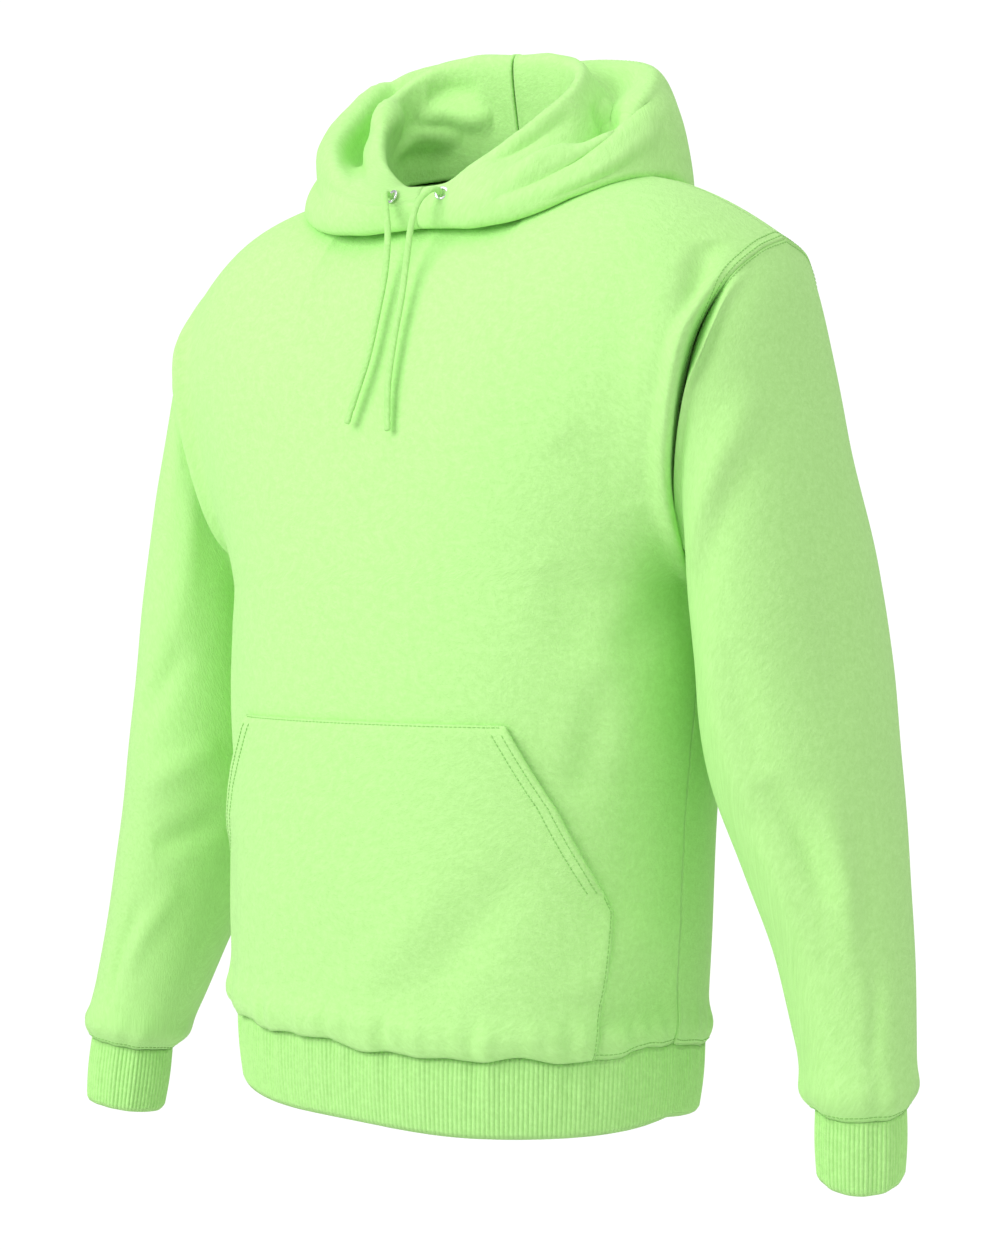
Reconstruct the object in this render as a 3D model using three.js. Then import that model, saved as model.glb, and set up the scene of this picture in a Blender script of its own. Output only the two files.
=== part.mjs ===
// A pullover hoodie, filled out as if worn, in millimetres with +Z up.
// +X is the wearer's left and the front faces -Y. The origin is the middle of the neck base,
// level with the point where the shoulder meets the neck.
import * as THREE from 'three';

// Cloth and seams
const WALL = 2.2;
const HOOD_WALL = 3;
const SEAM_GAP = 0.3;
const POCKET_STANDOFF = 1.7;
const ROUNDNESS = 2.25;

// Body panels
const COLUMNS = [0, 0.05, 0.1, 0.15, 0.2, 0.25, 0.3, 0.4, 0.5, 0.6, 0.7, 0.8, 0.9, 1];
const NECK_COLUMN = 0.3;
const LOWER_ROWS = 6;
const UPPER_ROWS = 10;

// Neck and shoulder
const NECK_HALF_WIDTH = 82;
const NECK_SIDE_Y = -5;
const NECK_SIDE_Z = 2;
const NECK_FRONT = { y: -77, z: -36 };
const NECK_BACK = { y: 45, z: 12 };
const SHOULDER_CURVE = 17;
const SHOULDER_RIM = { x: 0.28, z: 0.96 };

// Body below the armpit, from the hem seam up: heights and half sizes of the rings
const BODY = [
  { at: 0.0, half: 181, sideY: -31, frontY: -173, backY: 106, frontZ: -627, sideZ: -611, backZ: -628 },
  { at: 0.25, half: 184, sideY: -28, frontY: -174, backY: 112, frontZ: -550, sideZ: -540, backZ: -548 },
  { at: 0.5, half: 186, sideY: -25, frontY: -173, backY: 114, frontZ: -469, sideZ: -464, backZ: -468 },
  { at: 0.75, half: 190, sideY: -18, frontY: -171, backY: 114, frontZ: -386, sideZ: -384, backZ: -386 },
  { at: 1.0, half: 196, sideY: -10, frontY: -166, backY: 113, frontZ: -300, sideZ: -300, backZ: -300 },
];
const HEM_SLANT = 0.08;

// Left armhole seam, once round from the shoulder tip by the front
const ARMHOLE = [
  { at: 0.0, x: 246, y: 14, z: -52 },
  { at: 0.1, x: 246, y: -22, z: -64 },
  { at: 0.2, x: 242, y: -60, z: -90 },
  { at: 0.3, x: 233, y: -88, z: -145 },
  { at: 0.4, x: 213, y: -72, z: -235 },
  { at: 0.5, x: 196, y: -10, z: -300 },
  { at: 0.6, x: 213, y: 54, z: -235 },
  { at: 0.7, x: 231, y: 76, z: -150 },
  { at: 0.8, x: 241, y: 66, z: -96 },
  { at: 0.9, x: 246, y: 44, z: -64 },
  { at: 1.0, x: 246, y: 14, z: -52 },
];
const ARMHOLE_ROUND = 20;
const ARMHOLE_MIDDLE_Y = -7;
const ARMHOLE_PULL = 4;

// How the upper panels leave the armpit level, pass the chest row and arrive at the top seams
const FRONT_RISE = { leaveY: 25, leaveZ: 250, chestY: -140, chestSideY: -92, neckZ: 120, tipZ: 50 };
const BACK_RISE = { leaveY: -10, leaveZ: 250, chestY: 112, chestSideY: 80, neckZ: 110, tipZ: 50 };
const SPREAD = { leave: 20, arrive: 10, tipFade: 0.5 };
// The middle of a cubic is off its ends' mean by the difference of its end slopes over this
const CUBIC_MIDDLE = 8;

// Left sleeve rings, from the armhole down: outer and inner points and front and back depths
const SLEEVE = [
  { at: 0.0, outX: 246, outZ: -52, inX: 196, inZ: -300, y: -8, front: 84, back: 80 },
  { at: 0.1, outX: 261, outZ: -92, inX: 203, inZ: -318, y: -3, front: 90, back: 84 },
  { at: 0.22, outX: 279, outZ: -180, inX: 205, inZ: -338, y: 3, front: 94, back: 88 },
  { at: 0.36, outX: 299, outZ: -270, inX: 205, inZ: -368, y: 8, front: 98, back: 94 },
  { at: 0.5, outX: 312, outZ: -345, inX: 207, inZ: -410, y: 10, front: 98, back: 92 },
  { at: 0.62, outX: 324, outZ: -410, inX: 216, inZ: -455, y: 8, front: 90, back: 85 },
  { at: 0.74, outX: 338, outZ: -478, inX: 238, inZ: -505, y: 2, front: 74, back: 71 },
  { at: 0.84, outX: 351, outZ: -540, inX: 262, inZ: -560, y: -6, front: 57, back: 56 },
  { at: 0.93, outX: 363, outZ: -605, inX: 282, inZ: -620, y: -16, front: 44, back: 45 },
  { at: 0.975, outX: 368, outZ: -641, inX: 291, inZ: -646, y: -24, front: 39, back: 39 },
  { at: 1.0, outX: 365, outZ: -657, inX: 301, inZ: -660, y: -27, front: 32, back: 32 },
];
const SLEEVE_PLACES = [0, 0.04, 0.1, 0.17, 0.25, 0.34, 0.43, 0.52, 0.62, 0.72, 0.81, 0.9, 0.955, 1];
const SEAM_FADE = 0.25;
const SLEEVE_FULLNESS = 0.92;

// Cuffs
const CUFF_HEIGHT = 53;
const CUFF_SHIFT = { x: 3, y: -5 };
const CUFF_BOTTOM_SCALE = 0.96;
const CUFF_RIBS = 80;
const CUFF_INNER_POINTS = 20;

// Hem band
const HEM_HEIGHT = 55;
const HEM_RIBS = 400;
const HEM_INNER_POINTS = 80;
const HEM_BOTTOM_SCALE = 0.97;
const RIB_DEPTH = 0.8;

// Pouch pocket: half widths from the hem seam up to the top edge
const POCKET = [
  { at: 0.0, half: 162 },
  { at: 0.24, half: 168 },
  { at: 0.33, half: 170 },
  { at: 0.37, half: 167 },
  { at: 0.55, half: 145 },
  { at: 0.72, half: 116 },
];
const POCKET_MIDDLE = [0, 22, 44, 66, 88, 108];
const POCKET_SIDE_COLUMNS = 3;
const POCKET_ROWS = 10;

// Hood sections by the turn in degrees from the middle front round to the middle back.
// Each has radii and heights of the inner edge, the dip, the ridge, the side and the foot.
const HOOD_CENTRE_Y = -33;
const HOOD = [
  {
    at: 0, edgeR: 48, edgeZ: -15, dipR: 52, dipZ: -12, ridgeR: 57, ridgeZ: -16,
    sideR: 60, sideZ: -25, footR: 58, footZ: -37, swell: 0, lift: 0,
  },
  {
    at: 20, edgeR: 53, edgeZ: -12, dipR: 58, dipZ: -11, ridgeR: 63, ridgeZ: -16,
    sideR: 67, sideZ: -26, footR: 65, footZ: -38, swell: 0, lift: 0,
  },
  {
    at: 40, edgeR: 61, edgeZ: 3, dipR: 69, dipZ: -2, ridgeR: 78, ridgeZ: -12,
    sideR: 85, sideZ: -26, footR: 83, footZ: -39, swell: 3, lift: 0,
  },
  {
    at: 60, edgeR: 66, edgeZ: 19, dipR: 79, dipZ: 3, ridgeR: 93, ridgeZ: -8,
    sideR: 102, sideZ: -22, footR: 100, footZ: -35, swell: 8, lift: 4,
  },
  {
    at: 80, edgeR: 72, edgeZ: 38, dipR: 90, dipZ: 10, ridgeR: 109, ridgeZ: 10,
    sideR: 120, sideZ: -6, footR: 117, footZ: -27, swell: 12, lift: 10,
  },
  {
    at: 100, edgeR: 81, edgeZ: 59, dipR: 101, dipZ: 16, ridgeR: 123, ridgeZ: 37,
    sideR: 138, sideZ: 8, footR: 137, footZ: -17, swell: 9, lift: 15,
  },
  {
    at: 115, edgeR: 83, edgeZ: 75, dipR: 108, dipZ: 32, ridgeR: 137, ridgeZ: 65,
    sideR: 153, sideZ: 20, footR: 156, footZ: -12, swell: 2, lift: 16,
  },
  {
    at: 130, edgeR: 79, edgeZ: 87, dipR: 105, dipZ: 62, ridgeR: 133, ridgeZ: 84,
    sideR: 161, sideZ: 22, footR: 159, footZ: -38, swell: 0, lift: 14,
  },
  {
    at: 150, edgeR: 66, edgeZ: 94, dipR: 90, dipZ: 84, ridgeR: 116, ridgeZ: 92,
    sideR: 158, sideZ: 10, footR: 152, footZ: -72, swell: 0, lift: 8,
  },
  {
    at: 180, edgeR: 59, edgeZ: 96, dipR: 80, dipZ: 90, ridgeR: 104, ridgeZ: 93,
    sideR: 150, sideZ: 0, footR: 146, footZ: -90, swell: 0, lift: 0,
  },
];
const HOOD_PROFILE_STEPS = 21;
const HOOD_STAND = { lean: 0.7, rise: 0.45 };
const HOOD_TUCK = { depth: 20, from: 6, span: 30, least: 5, rise: 4 };
const HOOD_CLEARANCE = 4.5;

// Eyelets and drawcord
const EYELET = { x: 22.6, y: -96.5, z: -16, ring: 4.3, wire: 1.2, lean: 25, turn: 16 };
const EYELET_SIDES = { wire: 6, ring: 14 };
const CORD_DIAMETER = 5.4;
const CORD_SIDES = 8;
const CORD_STEPS = 16;
const CORD_LEFT_ROUTE = [
  [22.9, -97.4, -15.6],
  [21.5, -105, -13.8],
  [16, -114, -22],
  [12, -118, -38],
  [10, -121, -62],
  [12, -130, -92],
  [13, -141, -126],
  [14, -149, -158],
  [18, -155, -190],
];
const CORD_RIGHT_ROUTE = [
  [-22.9, -97.4, -15.6],
  [-22.5, -105, -14.2],
  [-17, -111, -26],
  [-13, -114, -44],
  [-9, -122, -72],
  [-7, -134, -104],
  [-8, -145, -138],
  [-13, -152, -164],
  [-18, -156, -184],
];

const COLOURS = { cloth: 0xb8fa90, rib: 0xb0f28a, cord: 0xa6ec82, metal: 0xc9ccd0 };

function clothMaterial(colour) {
  return new THREE.MeshStandardMaterial({ color: colour, roughness: 0.92, metalness: 0 });
}

function metalMaterial() {
  return new THREE.MeshStandardMaterial({ color: COLOURS.metal, roughness: 0.25, metalness: 1 });
}

function vec(x, y, z) {
  return new THREE.Vector3(x, y, z);
}

// One column of a table at a place between its rows, on a smooth cubic
function column(table, place, name) {
  const last = table.length - 1;
  let i = 0;
  while (i < last - 1 && place > table[i + 1].at) {
    i += 1;
  }
  const slope = (k) => {
    const low = table[Math.max(k - 1, 0)];
    const high = table[Math.min(k + 1, last)];
    return (high[name] - low[name]) / (high.at - low.at);
  };
  const span = table[i + 1].at - table[i].at;
  const t = (place - table[i].at) / span;
  return hermite(table[i][name], table[i + 1][name], slope(i) * span, slope(i + 1) * span, t);
}

function hermite(start, end, leave, arrive, t) {
  const t2 = t * t;
  const t3 = t2 * t;
  const ends = start * (2 * t3 - 3 * t2 + 1) + end * (3 * t2 - 2 * t3);
  return ends + leave * (t3 - 2 * t2 + t) + arrive * (t3 - t2);
}

function mix(a, b, t) {
  return a + (b - a) * t;
}

function smooth(t) {
  const c = Math.min(Math.max(t, 0), 1);
  return c * c * (3 - 2 * c);
}

// A quarter of a rounded oval: u runs from the middle (0) to the side (1)
function quarter(u) {
  const turn = u * Math.PI / 2;
  return {
    across: Math.pow(Math.max(Math.sin(turn), 0), 2 / ROUNDNESS),
    depth: Math.pow(Math.max(Math.cos(turn), 0), 2 / ROUNDNESS),
  };
}

function armhole(turn) {
  const place = ((turn % 1) + 1) % 1;
  return vec(column(ARMHOLE, place, 'x'), column(ARMHOLE, place, 'y'), column(ARMHOLE, place, 'z'));
}

function armholeFrame() {
  const tip = armhole(0);
  const pit = armhole(0.5);
  const up = tip.clone().sub(pit).normalize();
  const centre = tip.clone().add(pit).multiplyScalar(0.5);
  centre.y = ARMHOLE_MIDDLE_Y;
  return { centre, axis: vec(up.z, 0, -up.x) };
}
const ARMHOLE_FRAME = armholeFrame();

// Direction through the cloth at the armhole seam, shared by the sleeve and the body
function armholeOutward(turn) {
  const out = armhole(turn).sub(ARMHOLE_FRAME.centre);
  out.addScaledVector(ARMHOLE_FRAME.axis, -out.dot(ARMHOLE_FRAME.axis));
  return out.normalize();
}

// Neckline and shoulder seam: the top edge of a body panel
function topEdge(u, isFront) {
  const neck = isFront ? NECK_FRONT : NECK_BACK;
  if (u <= NECK_COLUMN) {
    const turn = (u / NECK_COLUMN) * Math.PI / 2;
    return vec(
      NECK_HALF_WIDTH * Math.sin(turn),
      mix(NECK_SIDE_Y, neck.y, Math.cos(turn)),
      mix(NECK_SIDE_Z, neck.z, Math.cos(turn)),
    );
  }
  const t = (u - NECK_COLUMN) / (1 - NECK_COLUMN);
  const tip = armhole(0);
  return vec(
    mix(NECK_HALF_WIDTH, tip.x, t),
    mix(NECK_SIDE_Y, tip.y, t),
    mix(NECK_SIDE_Z, tip.z, t) + SHOULDER_CURVE * Math.sin(Math.PI * t),
  );
}

// A point on the left half of a body panel: u from the middle to the side, v from the hem seam up
// to the armpit (1) and the top seams (2)
function bodyPoint(u, v, isFront) {
  const bend = quarter(u);
  const middleY = isFront ? 'frontY' : 'backY';
  const middleZ = isFront ? 'frontZ' : 'backZ';
  const level = Math.min(v, 1);
  const half = column(BODY, level, 'half');
  const sideY = column(BODY, level, 'sideY');
  const sideZ = column(BODY, level, 'sideZ');
  const low = vec(
    half * bend.across,
    mix(sideY, column(BODY, level, middleY), bend.depth),
    mix(column(BODY, level, middleZ), sideZ, u * u),
  );
  if (v <= 1) {
    return low;
  }
  const w = v - 1;
  const rise = isFront ? FRONT_RISE : BACK_RISE;
  const climb = (place, start, end) => {
    const chestY = mix(rise.chestSideY, rise.chestY, quarter(place).depth);
    const arriveY = rise.leaveY - CUBIC_MIDDLE * (chestY - (start.y + end.y) / 2);
    const arriveZ = mix(rise.neckZ, rise.tipZ, smooth((place - NECK_COLUMN) / SPREAD.tipFade));
    return vec(
      hermite(start.x, end.x, SPREAD.leave * place, SPREAD.arrive * place, w),
      hermite(start.y, end.y, rise.leaveY, arriveY, w),
      hermite(start.z, end.z, rise.leaveZ, arriveZ, w),
    );
  };
  const point = climb(u, low, topEdge(u, isFront));
  const seam = armhole(isFront ? 0.5 - 0.5 * w : 0.5 + 0.5 * w);
  const edge = climb(1, armhole(0.5), armhole(0));
  return point.addScaledVector(seam.sub(edge), Math.pow(u, ARMHOLE_PULL));
}

// How far the hem side of the body hangs lower towards the wearer's left
function slant(x, v) {
  return -x * HEM_SLANT * Math.max(1 - v, 0);
}

// Outward directions at the points of a grid, from its neighbours
function gridNormals(grid, isClosed) {
  const rows = grid.length;
  const cols = grid[0].length;
  return grid.map((row, j) => row.map((point, i) => {
    const before = isClosed ? row[(i - 1 + cols) % cols] : row[Math.max(i - 1, 0)];
    const after = isClosed ? row[(i + 1) % cols] : row[Math.min(i + 1, cols - 1)];
    const below = grid[Math.max(j - 1, 0)][i];
    const above = grid[Math.min(j + 1, rows - 1)][i];
    return after.clone().sub(before).cross(above.clone().sub(below)).normalize();
  }));
}

// A closed cloth wall between two grids of points, with rims along the open borders
function wallGeometry(outer, inner, isClosed) {
  const rows = outer.length;
  const cols = outer[0].length;
  const positions = [];
  const indices = [];
  [...outer, ...inner].forEach((row) => row.forEach((p) => positions.push(p.x, p.y, p.z)));
  const index = (layer, j, i) => layer * rows * cols + j * cols + (i % cols);
  const quad = (a, b, c, d) => indices.push(a, b, c, a, c, d);
  const spans = isClosed ? cols : cols - 1;
  for (let j = 0; j < rows - 1; j += 1) {
    for (let i = 0; i < spans; i += 1) {
      quad(index(0, j, i), index(0, j, i + 1), index(0, j + 1, i + 1), index(0, j + 1, i));
      quad(index(1, j, i), index(1, j + 1, i), index(1, j + 1, i + 1), index(1, j, i + 1));
    }
    if (!isClosed) {
      quad(index(1, j, 0), index(0, j, 0), index(0, j + 1, 0), index(1, j + 1, 0));
      const end = cols - 1;
      quad(index(0, j, end), index(1, j, end), index(1, j + 1, end), index(0, j + 1, end));
    }
  }
  const top = rows - 1;
  for (let i = 0; i < spans; i += 1) {
    quad(index(1, 0, i), index(1, 0, i + 1), index(0, 0, i + 1), index(0, 0, i));
    quad(index(0, top, i), index(0, top, i + 1), index(1, top, i + 1), index(1, top, i));
  }
  return facingOut(positions, indices);
}

// Turns every face round when the enclosed volume comes out negative
function facingOut(positions, indices) {
  const point = (k) => vec(positions[3 * k], positions[3 * k + 1], positions[3 * k + 2]);
  let volume = 0;
  for (let k = 0; k < indices.length; k += 3) {
    volume += point(indices[k]).dot(point(indices[k + 1]).cross(point(indices[k + 2])));
  }
  if (volume < 0) {
    indices.reverse();
  }
  const geometry = new THREE.BufferGeometry();
  geometry.setAttribute('position', new THREE.Float32BufferAttribute(positions, 3));
  geometry.setIndex(indices);
  geometry.computeVertexNormals();
  return geometry;
}

function movedAlong(grid, normals, distance) {
  return grid.map((row, j) => row.map((p, i) => p.clone().addScaledVector(normals[j][i], distance)));
}

function mirrored(grid) {
  return grid.map((row) => row.map((p) => vec(-p.x, p.y, p.z)));
}

// The rows of a body panel from the hem seam to the top edge
function bodyRows() {
  const rows = [];
  for (let j = 0; j < LOWER_ROWS; j += 1) {
    rows.push(j / LOWER_ROWS);
  }
  for (let j = 0; j <= UPPER_ROWS; j += 1) {
    rows.push(1 + j / UPPER_ROWS);
  }
  return rows;
}

function bodySurface(isFront) {
  const across = [...COLUMNS.slice(1).reverse().map((u) => -u), ...COLUMNS];
  return bodyRows().map((v) => across.map((u) => {
    const point = bodyPoint(Math.abs(u), v, isFront);
    point.x *= Math.sign(u) || 1;
    point.z += slant(point.x, v);
    return point;
  }));
}

// A body panel: its edges are drawn back by half a gap and its rims follow shared directions
function bodyPanel(isFront) {
  const outer = bodySurface(isFront);
  const facing = isFront ? 1 : -1;
  const normals = gridNormals(outer, false).map((row) => row.map((n) => n.multiplyScalar(facing)));
  const last = outer[0].length - 1;
  const top = outer.length - 1;
  const across = (i) => COLUMNS[Math.abs(i - (COLUMNS.length - 1))];
  outer.forEach((row, j) => {
    [0, last].forEach((i) => {
      const side = i === 0 ? -1 : 1;
      if (j < LOWER_ROWS) {
        normals[j][i] = vec(side, 0, 0);
        row[i].y -= facing * SEAM_GAP / 2;
        return;
      }
      const w = (j - LOWER_ROWS) / UPPER_ROWS;
      const out = armholeOutward(isFront ? 0.5 - 0.5 * w : 0.5 + 0.5 * w);
      normals[j][i] = vec(side * out.x, out.y, out.z);
      const back = ARMHOLE_FRAME.axis.clone().multiplyScalar(-SEAM_GAP / 2);
      row[i].add(vec(side * back.x, back.y, back.z));
      if (j === LOWER_ROWS || j === top) {
        row[i].y -= facing * SEAM_GAP / 2;
      }
    });
  });
  outer[top].forEach((p, i) => {
    if (across(i) >= NECK_COLUMN && across(i) < 1) {
      p.y -= facing * SEAM_GAP / 2;
      normals[top][i] = vec(SHOULDER_RIM.x * Math.sign(p.x), 0, SHOULDER_RIM.z);
    }
  });
  return wallGeometry(outer, movedAlong(outer, normals, -WALL), false);
}

// A ring point from the sleeve's table: turn runs from the outer point by the front, once round
function sleeveRing(turn, place) {
  const value = (name) => column(SLEEVE, place, name);
  const angle = turn * 2 * Math.PI;
  const along = (Math.cos(angle) + 1) / 2;
  const isFront = turn < 0.5;
  const fullness = Math.pow(Math.abs(Math.sin(angle)), SLEEVE_FULLNESS);
  const depth = value(isFront ? 'front' : 'back') * fullness;
  return vec(
    mix(value('inX'), value('outX'), along),
    value('y') + (isFront ? -depth : depth),
    mix(value('inZ'), value('outZ'), along),
  );
}

// A sleeve point: its ring, drawn onto the armhole seam near the top
function sleevePoint(turn, place) {
  const fade = Math.pow(Math.max(1 - place / SEAM_FADE, 0), 2);
  const pull = armhole(turn).sub(sleeveRing(turn, 0));
  return sleeveRing(turn, place).addScaledVector(pull, fade);
}

function sleeveGeometry(isLeft) {
  const outer = SLEEVE_PLACES.map((place) => {
    const ring = [];
    for (let k = 0; k < ARMHOLE_ROUND; k += 1) {
      ring.push(sleevePoint(k / ARMHOLE_ROUND, place));
    }
    return ring;
  });
  const normals = gridNormals(outer, true).map((row) => row.map((n) => n.negate()));
  outer[0].forEach((p, k) => {
    p.addScaledVector(ARMHOLE_FRAME.axis, SEAM_GAP / 2);
    normals[0][k] = armholeOutward(k / ARMHOLE_ROUND);
  });
  const end = outer.length - 1;
  const cuff = cuffCentre();
  outer[end].forEach((p, k) => {
    normals[end][k] = vec(p.x - cuff.x, p.y - cuff.y, 0).normalize();
  });
  const inner = movedAlong(outer, normals, -WALL);
  return isLeft ? wallGeometry(outer, inner, true) : wallGeometry(mirrored(outer), mirrored(inner), true);
}

function cuffCentre() {
  const end = SLEEVE[SLEEVE.length - 1];
  return vec((end.outX + end.inX) / 2, end.y, (end.outZ + end.inZ) / 2);
}

// A ribbed band: the outer rings have a crest and a groove for each rib, the inner rings are plain
function ribbedBand(topRing, bottomRing, ribs, innerPoints) {
  const outerPoints = ribs * 2;
  const ratio = outerPoints / innerPoints;
  const positions = [];
  const indices = [];
  const push = (p) => positions.push(p.x, p.y, p.z);
  [topRing, bottomRing].forEach((ring) => {
    ring.points.forEach((p, k) => {
      push(p.clone().addScaledVector(ring.normals[k], k % 2 === 0 ? 0 : -RIB_DEPTH));
    });
  });
  [topRing, bottomRing].forEach((ring) => {
    for (let k = 0; k < innerPoints; k += 1) {
      push(ring.points[k * ratio].clone().addScaledVector(ring.normals[k * ratio], -WALL));
    }
  });
  const out = (level, k) => level * outerPoints + (k % outerPoints);
  const inn = (level, k) => 2 * outerPoints + level * innerPoints + (k % innerPoints);
  for (let k = 0; k < outerPoints; k += 1) {
    indices.push(out(0, k), out(1, k), out(1, k + 1), out(0, k), out(1, k + 1), out(0, k + 1));
  }
  for (let k = 0; k < innerPoints; k += 1) {
    indices.push(inn(0, k), inn(1, k + 1), inn(1, k), inn(0, k), inn(0, k + 1), inn(1, k + 1));
    for (let j = 0; j < ratio; j += 1) {
      const o = k * ratio + j;
      indices.push(inn(0, k), out(0, o), out(0, o + 1));
      indices.push(inn(1, k), out(1, o + 1), out(1, o));
    }
    indices.push(inn(0, k), out(0, (k + 1) * ratio), inn(0, k + 1));
    indices.push(inn(1, k), inn(1, k + 1), out(1, (k + 1) * ratio));
  }
  return facingOut(positions, indices);
}

// A closed ring of evenly spaced points with level outward directions
function evenRing(points, count) {
  const curve = new THREE.CurvePath();
  points.forEach((p, k) => curve.add(new THREE.LineCurve3(p, points[(k + 1) % points.length])));
  const spaced = curve.getSpacedPoints(count).slice(0, count);
  const middle = spaced.reduce((sum, p) => sum.add(p), vec(0, 0, 0)).multiplyScalar(1 / count);
  const normals = spaced.map((p, k) => {
    const along = spaced[(k + 1) % count].clone().sub(spaced[(k - 1 + count) % count]);
    const out = vec(along.y, -along.x, 0).normalize();
    return out.dot(p.clone().sub(middle)) < 0 ? out.negate() : out;
  });
  return { points: spaced, normals };
}

function cuffGeometry(isLeft) {
  const centre = cuffCentre();
  const end = SLEEVE[SLEEVE.length - 1];
  const ring = [];
  for (let k = 0; k < ARMHOLE_ROUND; k += 1) {
    const p = sleevePoint(k / ARMHOLE_ROUND, 1);
    ring.push(vec(p.x, p.y, p.z - SEAM_GAP));
  }
  const lower = ring.map((p) => vec(
    centre.x + (p.x - centre.x) * CUFF_BOTTOM_SCALE + CUFF_SHIFT.x,
    end.y + (p.y - end.y) * CUFF_BOTTOM_SCALE + CUFF_SHIFT.y,
    p.z - CUFF_HEIGHT,
  ));
  const side = (points) => (isLeft ? points : points.map((p) => vec(-p.x, p.y, p.z)));
  const topRing = evenRing(side(ring), CUFF_RIBS * 2);
  const bottomRing = evenRing(side(lower), CUFF_RIBS * 2);
  return ribbedBand(topRing, bottomRing, CUFF_RIBS, CUFF_INNER_POINTS);
}

function hemGeometry() {
  const front = bodySurface(true)[0];
  const back = bodySurface(false)[0].slice(1, -1).reverse();
  const ring = [...front, ...back].map((p) => vec(p.x, p.y, p.z - SEAM_GAP));
  const middleY = (BODY[0].frontY + BODY[0].backY) / 2;
  const lower = ring.map((p) => vec(
    p.x * HEM_BOTTOM_SCALE,
    middleY + (p.y - middleY) * HEM_BOTTOM_SCALE,
    p.z - HEM_HEIGHT,
  ));
  const topRing = evenRing(ring, HEM_RIBS * 2);
  const bottomRing = evenRing(lower, HEM_RIBS * 2);
  return ribbedBand(topRing, bottomRing, HEM_RIBS, HEM_INNER_POINTS);
}

// Half width of the pocket at a row, straight between the rows of its table
function pocketHalf(v) {
  const after = Math.max(POCKET.findIndex((row) => row.at >= v), 1);
  const low = POCKET[after - 1];
  const high = POCKET[after];
  return mix(low.half, high.half, (v - low.at) / (high.at - low.at));
}

// The pouch pocket lies on the front panel, moved out from its points
function pocketGeometry() {
  const topRow = POCKET[POCKET.length - 1].at;
  const place = (x, v) => {
    const ratio = Math.min(x / column(BODY, v, 'half'), 1);
    return (2 / Math.PI) * Math.asin(Math.pow(ratio, ROUNDNESS / 2));
  };
  const grid = [];
  for (let j = 0; j <= POCKET_ROWS; j += 1) {
    const v = topRow * j / POCKET_ROWS;
    const flat = POCKET_MIDDLE[POCKET_MIDDLE.length - 1];
    const widths = [...POCKET_MIDDLE];
    for (let k = 1; k <= POCKET_SIDE_COLUMNS; k += 1) {
      widths.push(mix(flat, pocketHalf(v), k / POCKET_SIDE_COLUMNS));
    }
    const across = [...widths.slice(1).reverse().map((x) => -x), ...widths];
    grid.push(across.map((x) => {
      const point = bodyPoint(place(Math.abs(x), v), v, true);
      point.x *= Math.sign(x) || 1;
      point.z += slant(point.x, v);
      return point;
    }));
  }
  const normals = gridNormals(grid, false);
  const outer = movedAlong(grid, normals, POCKET_STANDOFF + WALL);
  return wallGeometry(outer, movedAlong(grid, normals, POCKET_STANDOFF), false);
}

// The body panels' outer faces above the armpit, as triangles
function yokeFaces() {
  const faces = [];
  [bodySurface(true), bodySurface(false)].forEach((grid) => {
    for (let j = LOWER_ROWS; j < grid.length - 1; j += 1) {
      for (let i = 0; i < grid[0].length - 1; i += 1) {
        faces.push(new THREE.Triangle(grid[j][i], grid[j][i + 1], grid[j + 1][i + 1]));
        faces.push(new THREE.Triangle(grid[j][i], grid[j + 1][i + 1], grid[j + 1][i]));
      }
    }
  });
  return faces;
}

// Moves a hood point the shortest way out until it clears the body's cloth
function clearOfBody(point, faces) {
  const up = new THREE.Ray(point, vec(0, 0, 1));
  const hit = vec(0, 0, 0);
  const near = vec(0, 0, 0);
  const nearest = vec(0, 0, Infinity);
  let distance = Infinity;
  let isInside = false;
  faces.forEach((face) => {
    face.closestPointToPoint(point, near);
    if (near.distanceTo(point) < distance) {
      distance = near.distanceTo(point);
      nearest.copy(near);
    }
    isInside = isInside || up.intersectTriangle(face.a, face.b, face.c, false, hit) !== null;
  });
  if (!isInside && distance >= HOOD_CLEARANCE) {
    return point;
  }
  const out = point.clone().sub(nearest).normalize();
  return nearest.addScaledVector(isInside ? out.negate() : out, HOOD_CLEARANCE);
}

// The neckline's points from the middle front round the left side to the middle back, with midpoints
function necklinePoints() {
  const steps = COLUMNS.filter((u) => u <= NECK_COLUMN);
  const front = steps.map((u) => topEdge(u, true));
  const back = steps.slice(0, -1).reverse().map((u) => topEdge(u, false));
  const corners = [...front, ...back];
  const points = [];
  corners.forEach((p, k) => {
    points.push(p);
    if (k < corners.length - 1) {
      points.push(p.clone().lerp(corners[k + 1], 0.5));
    }
  });
  return points;
}

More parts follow.
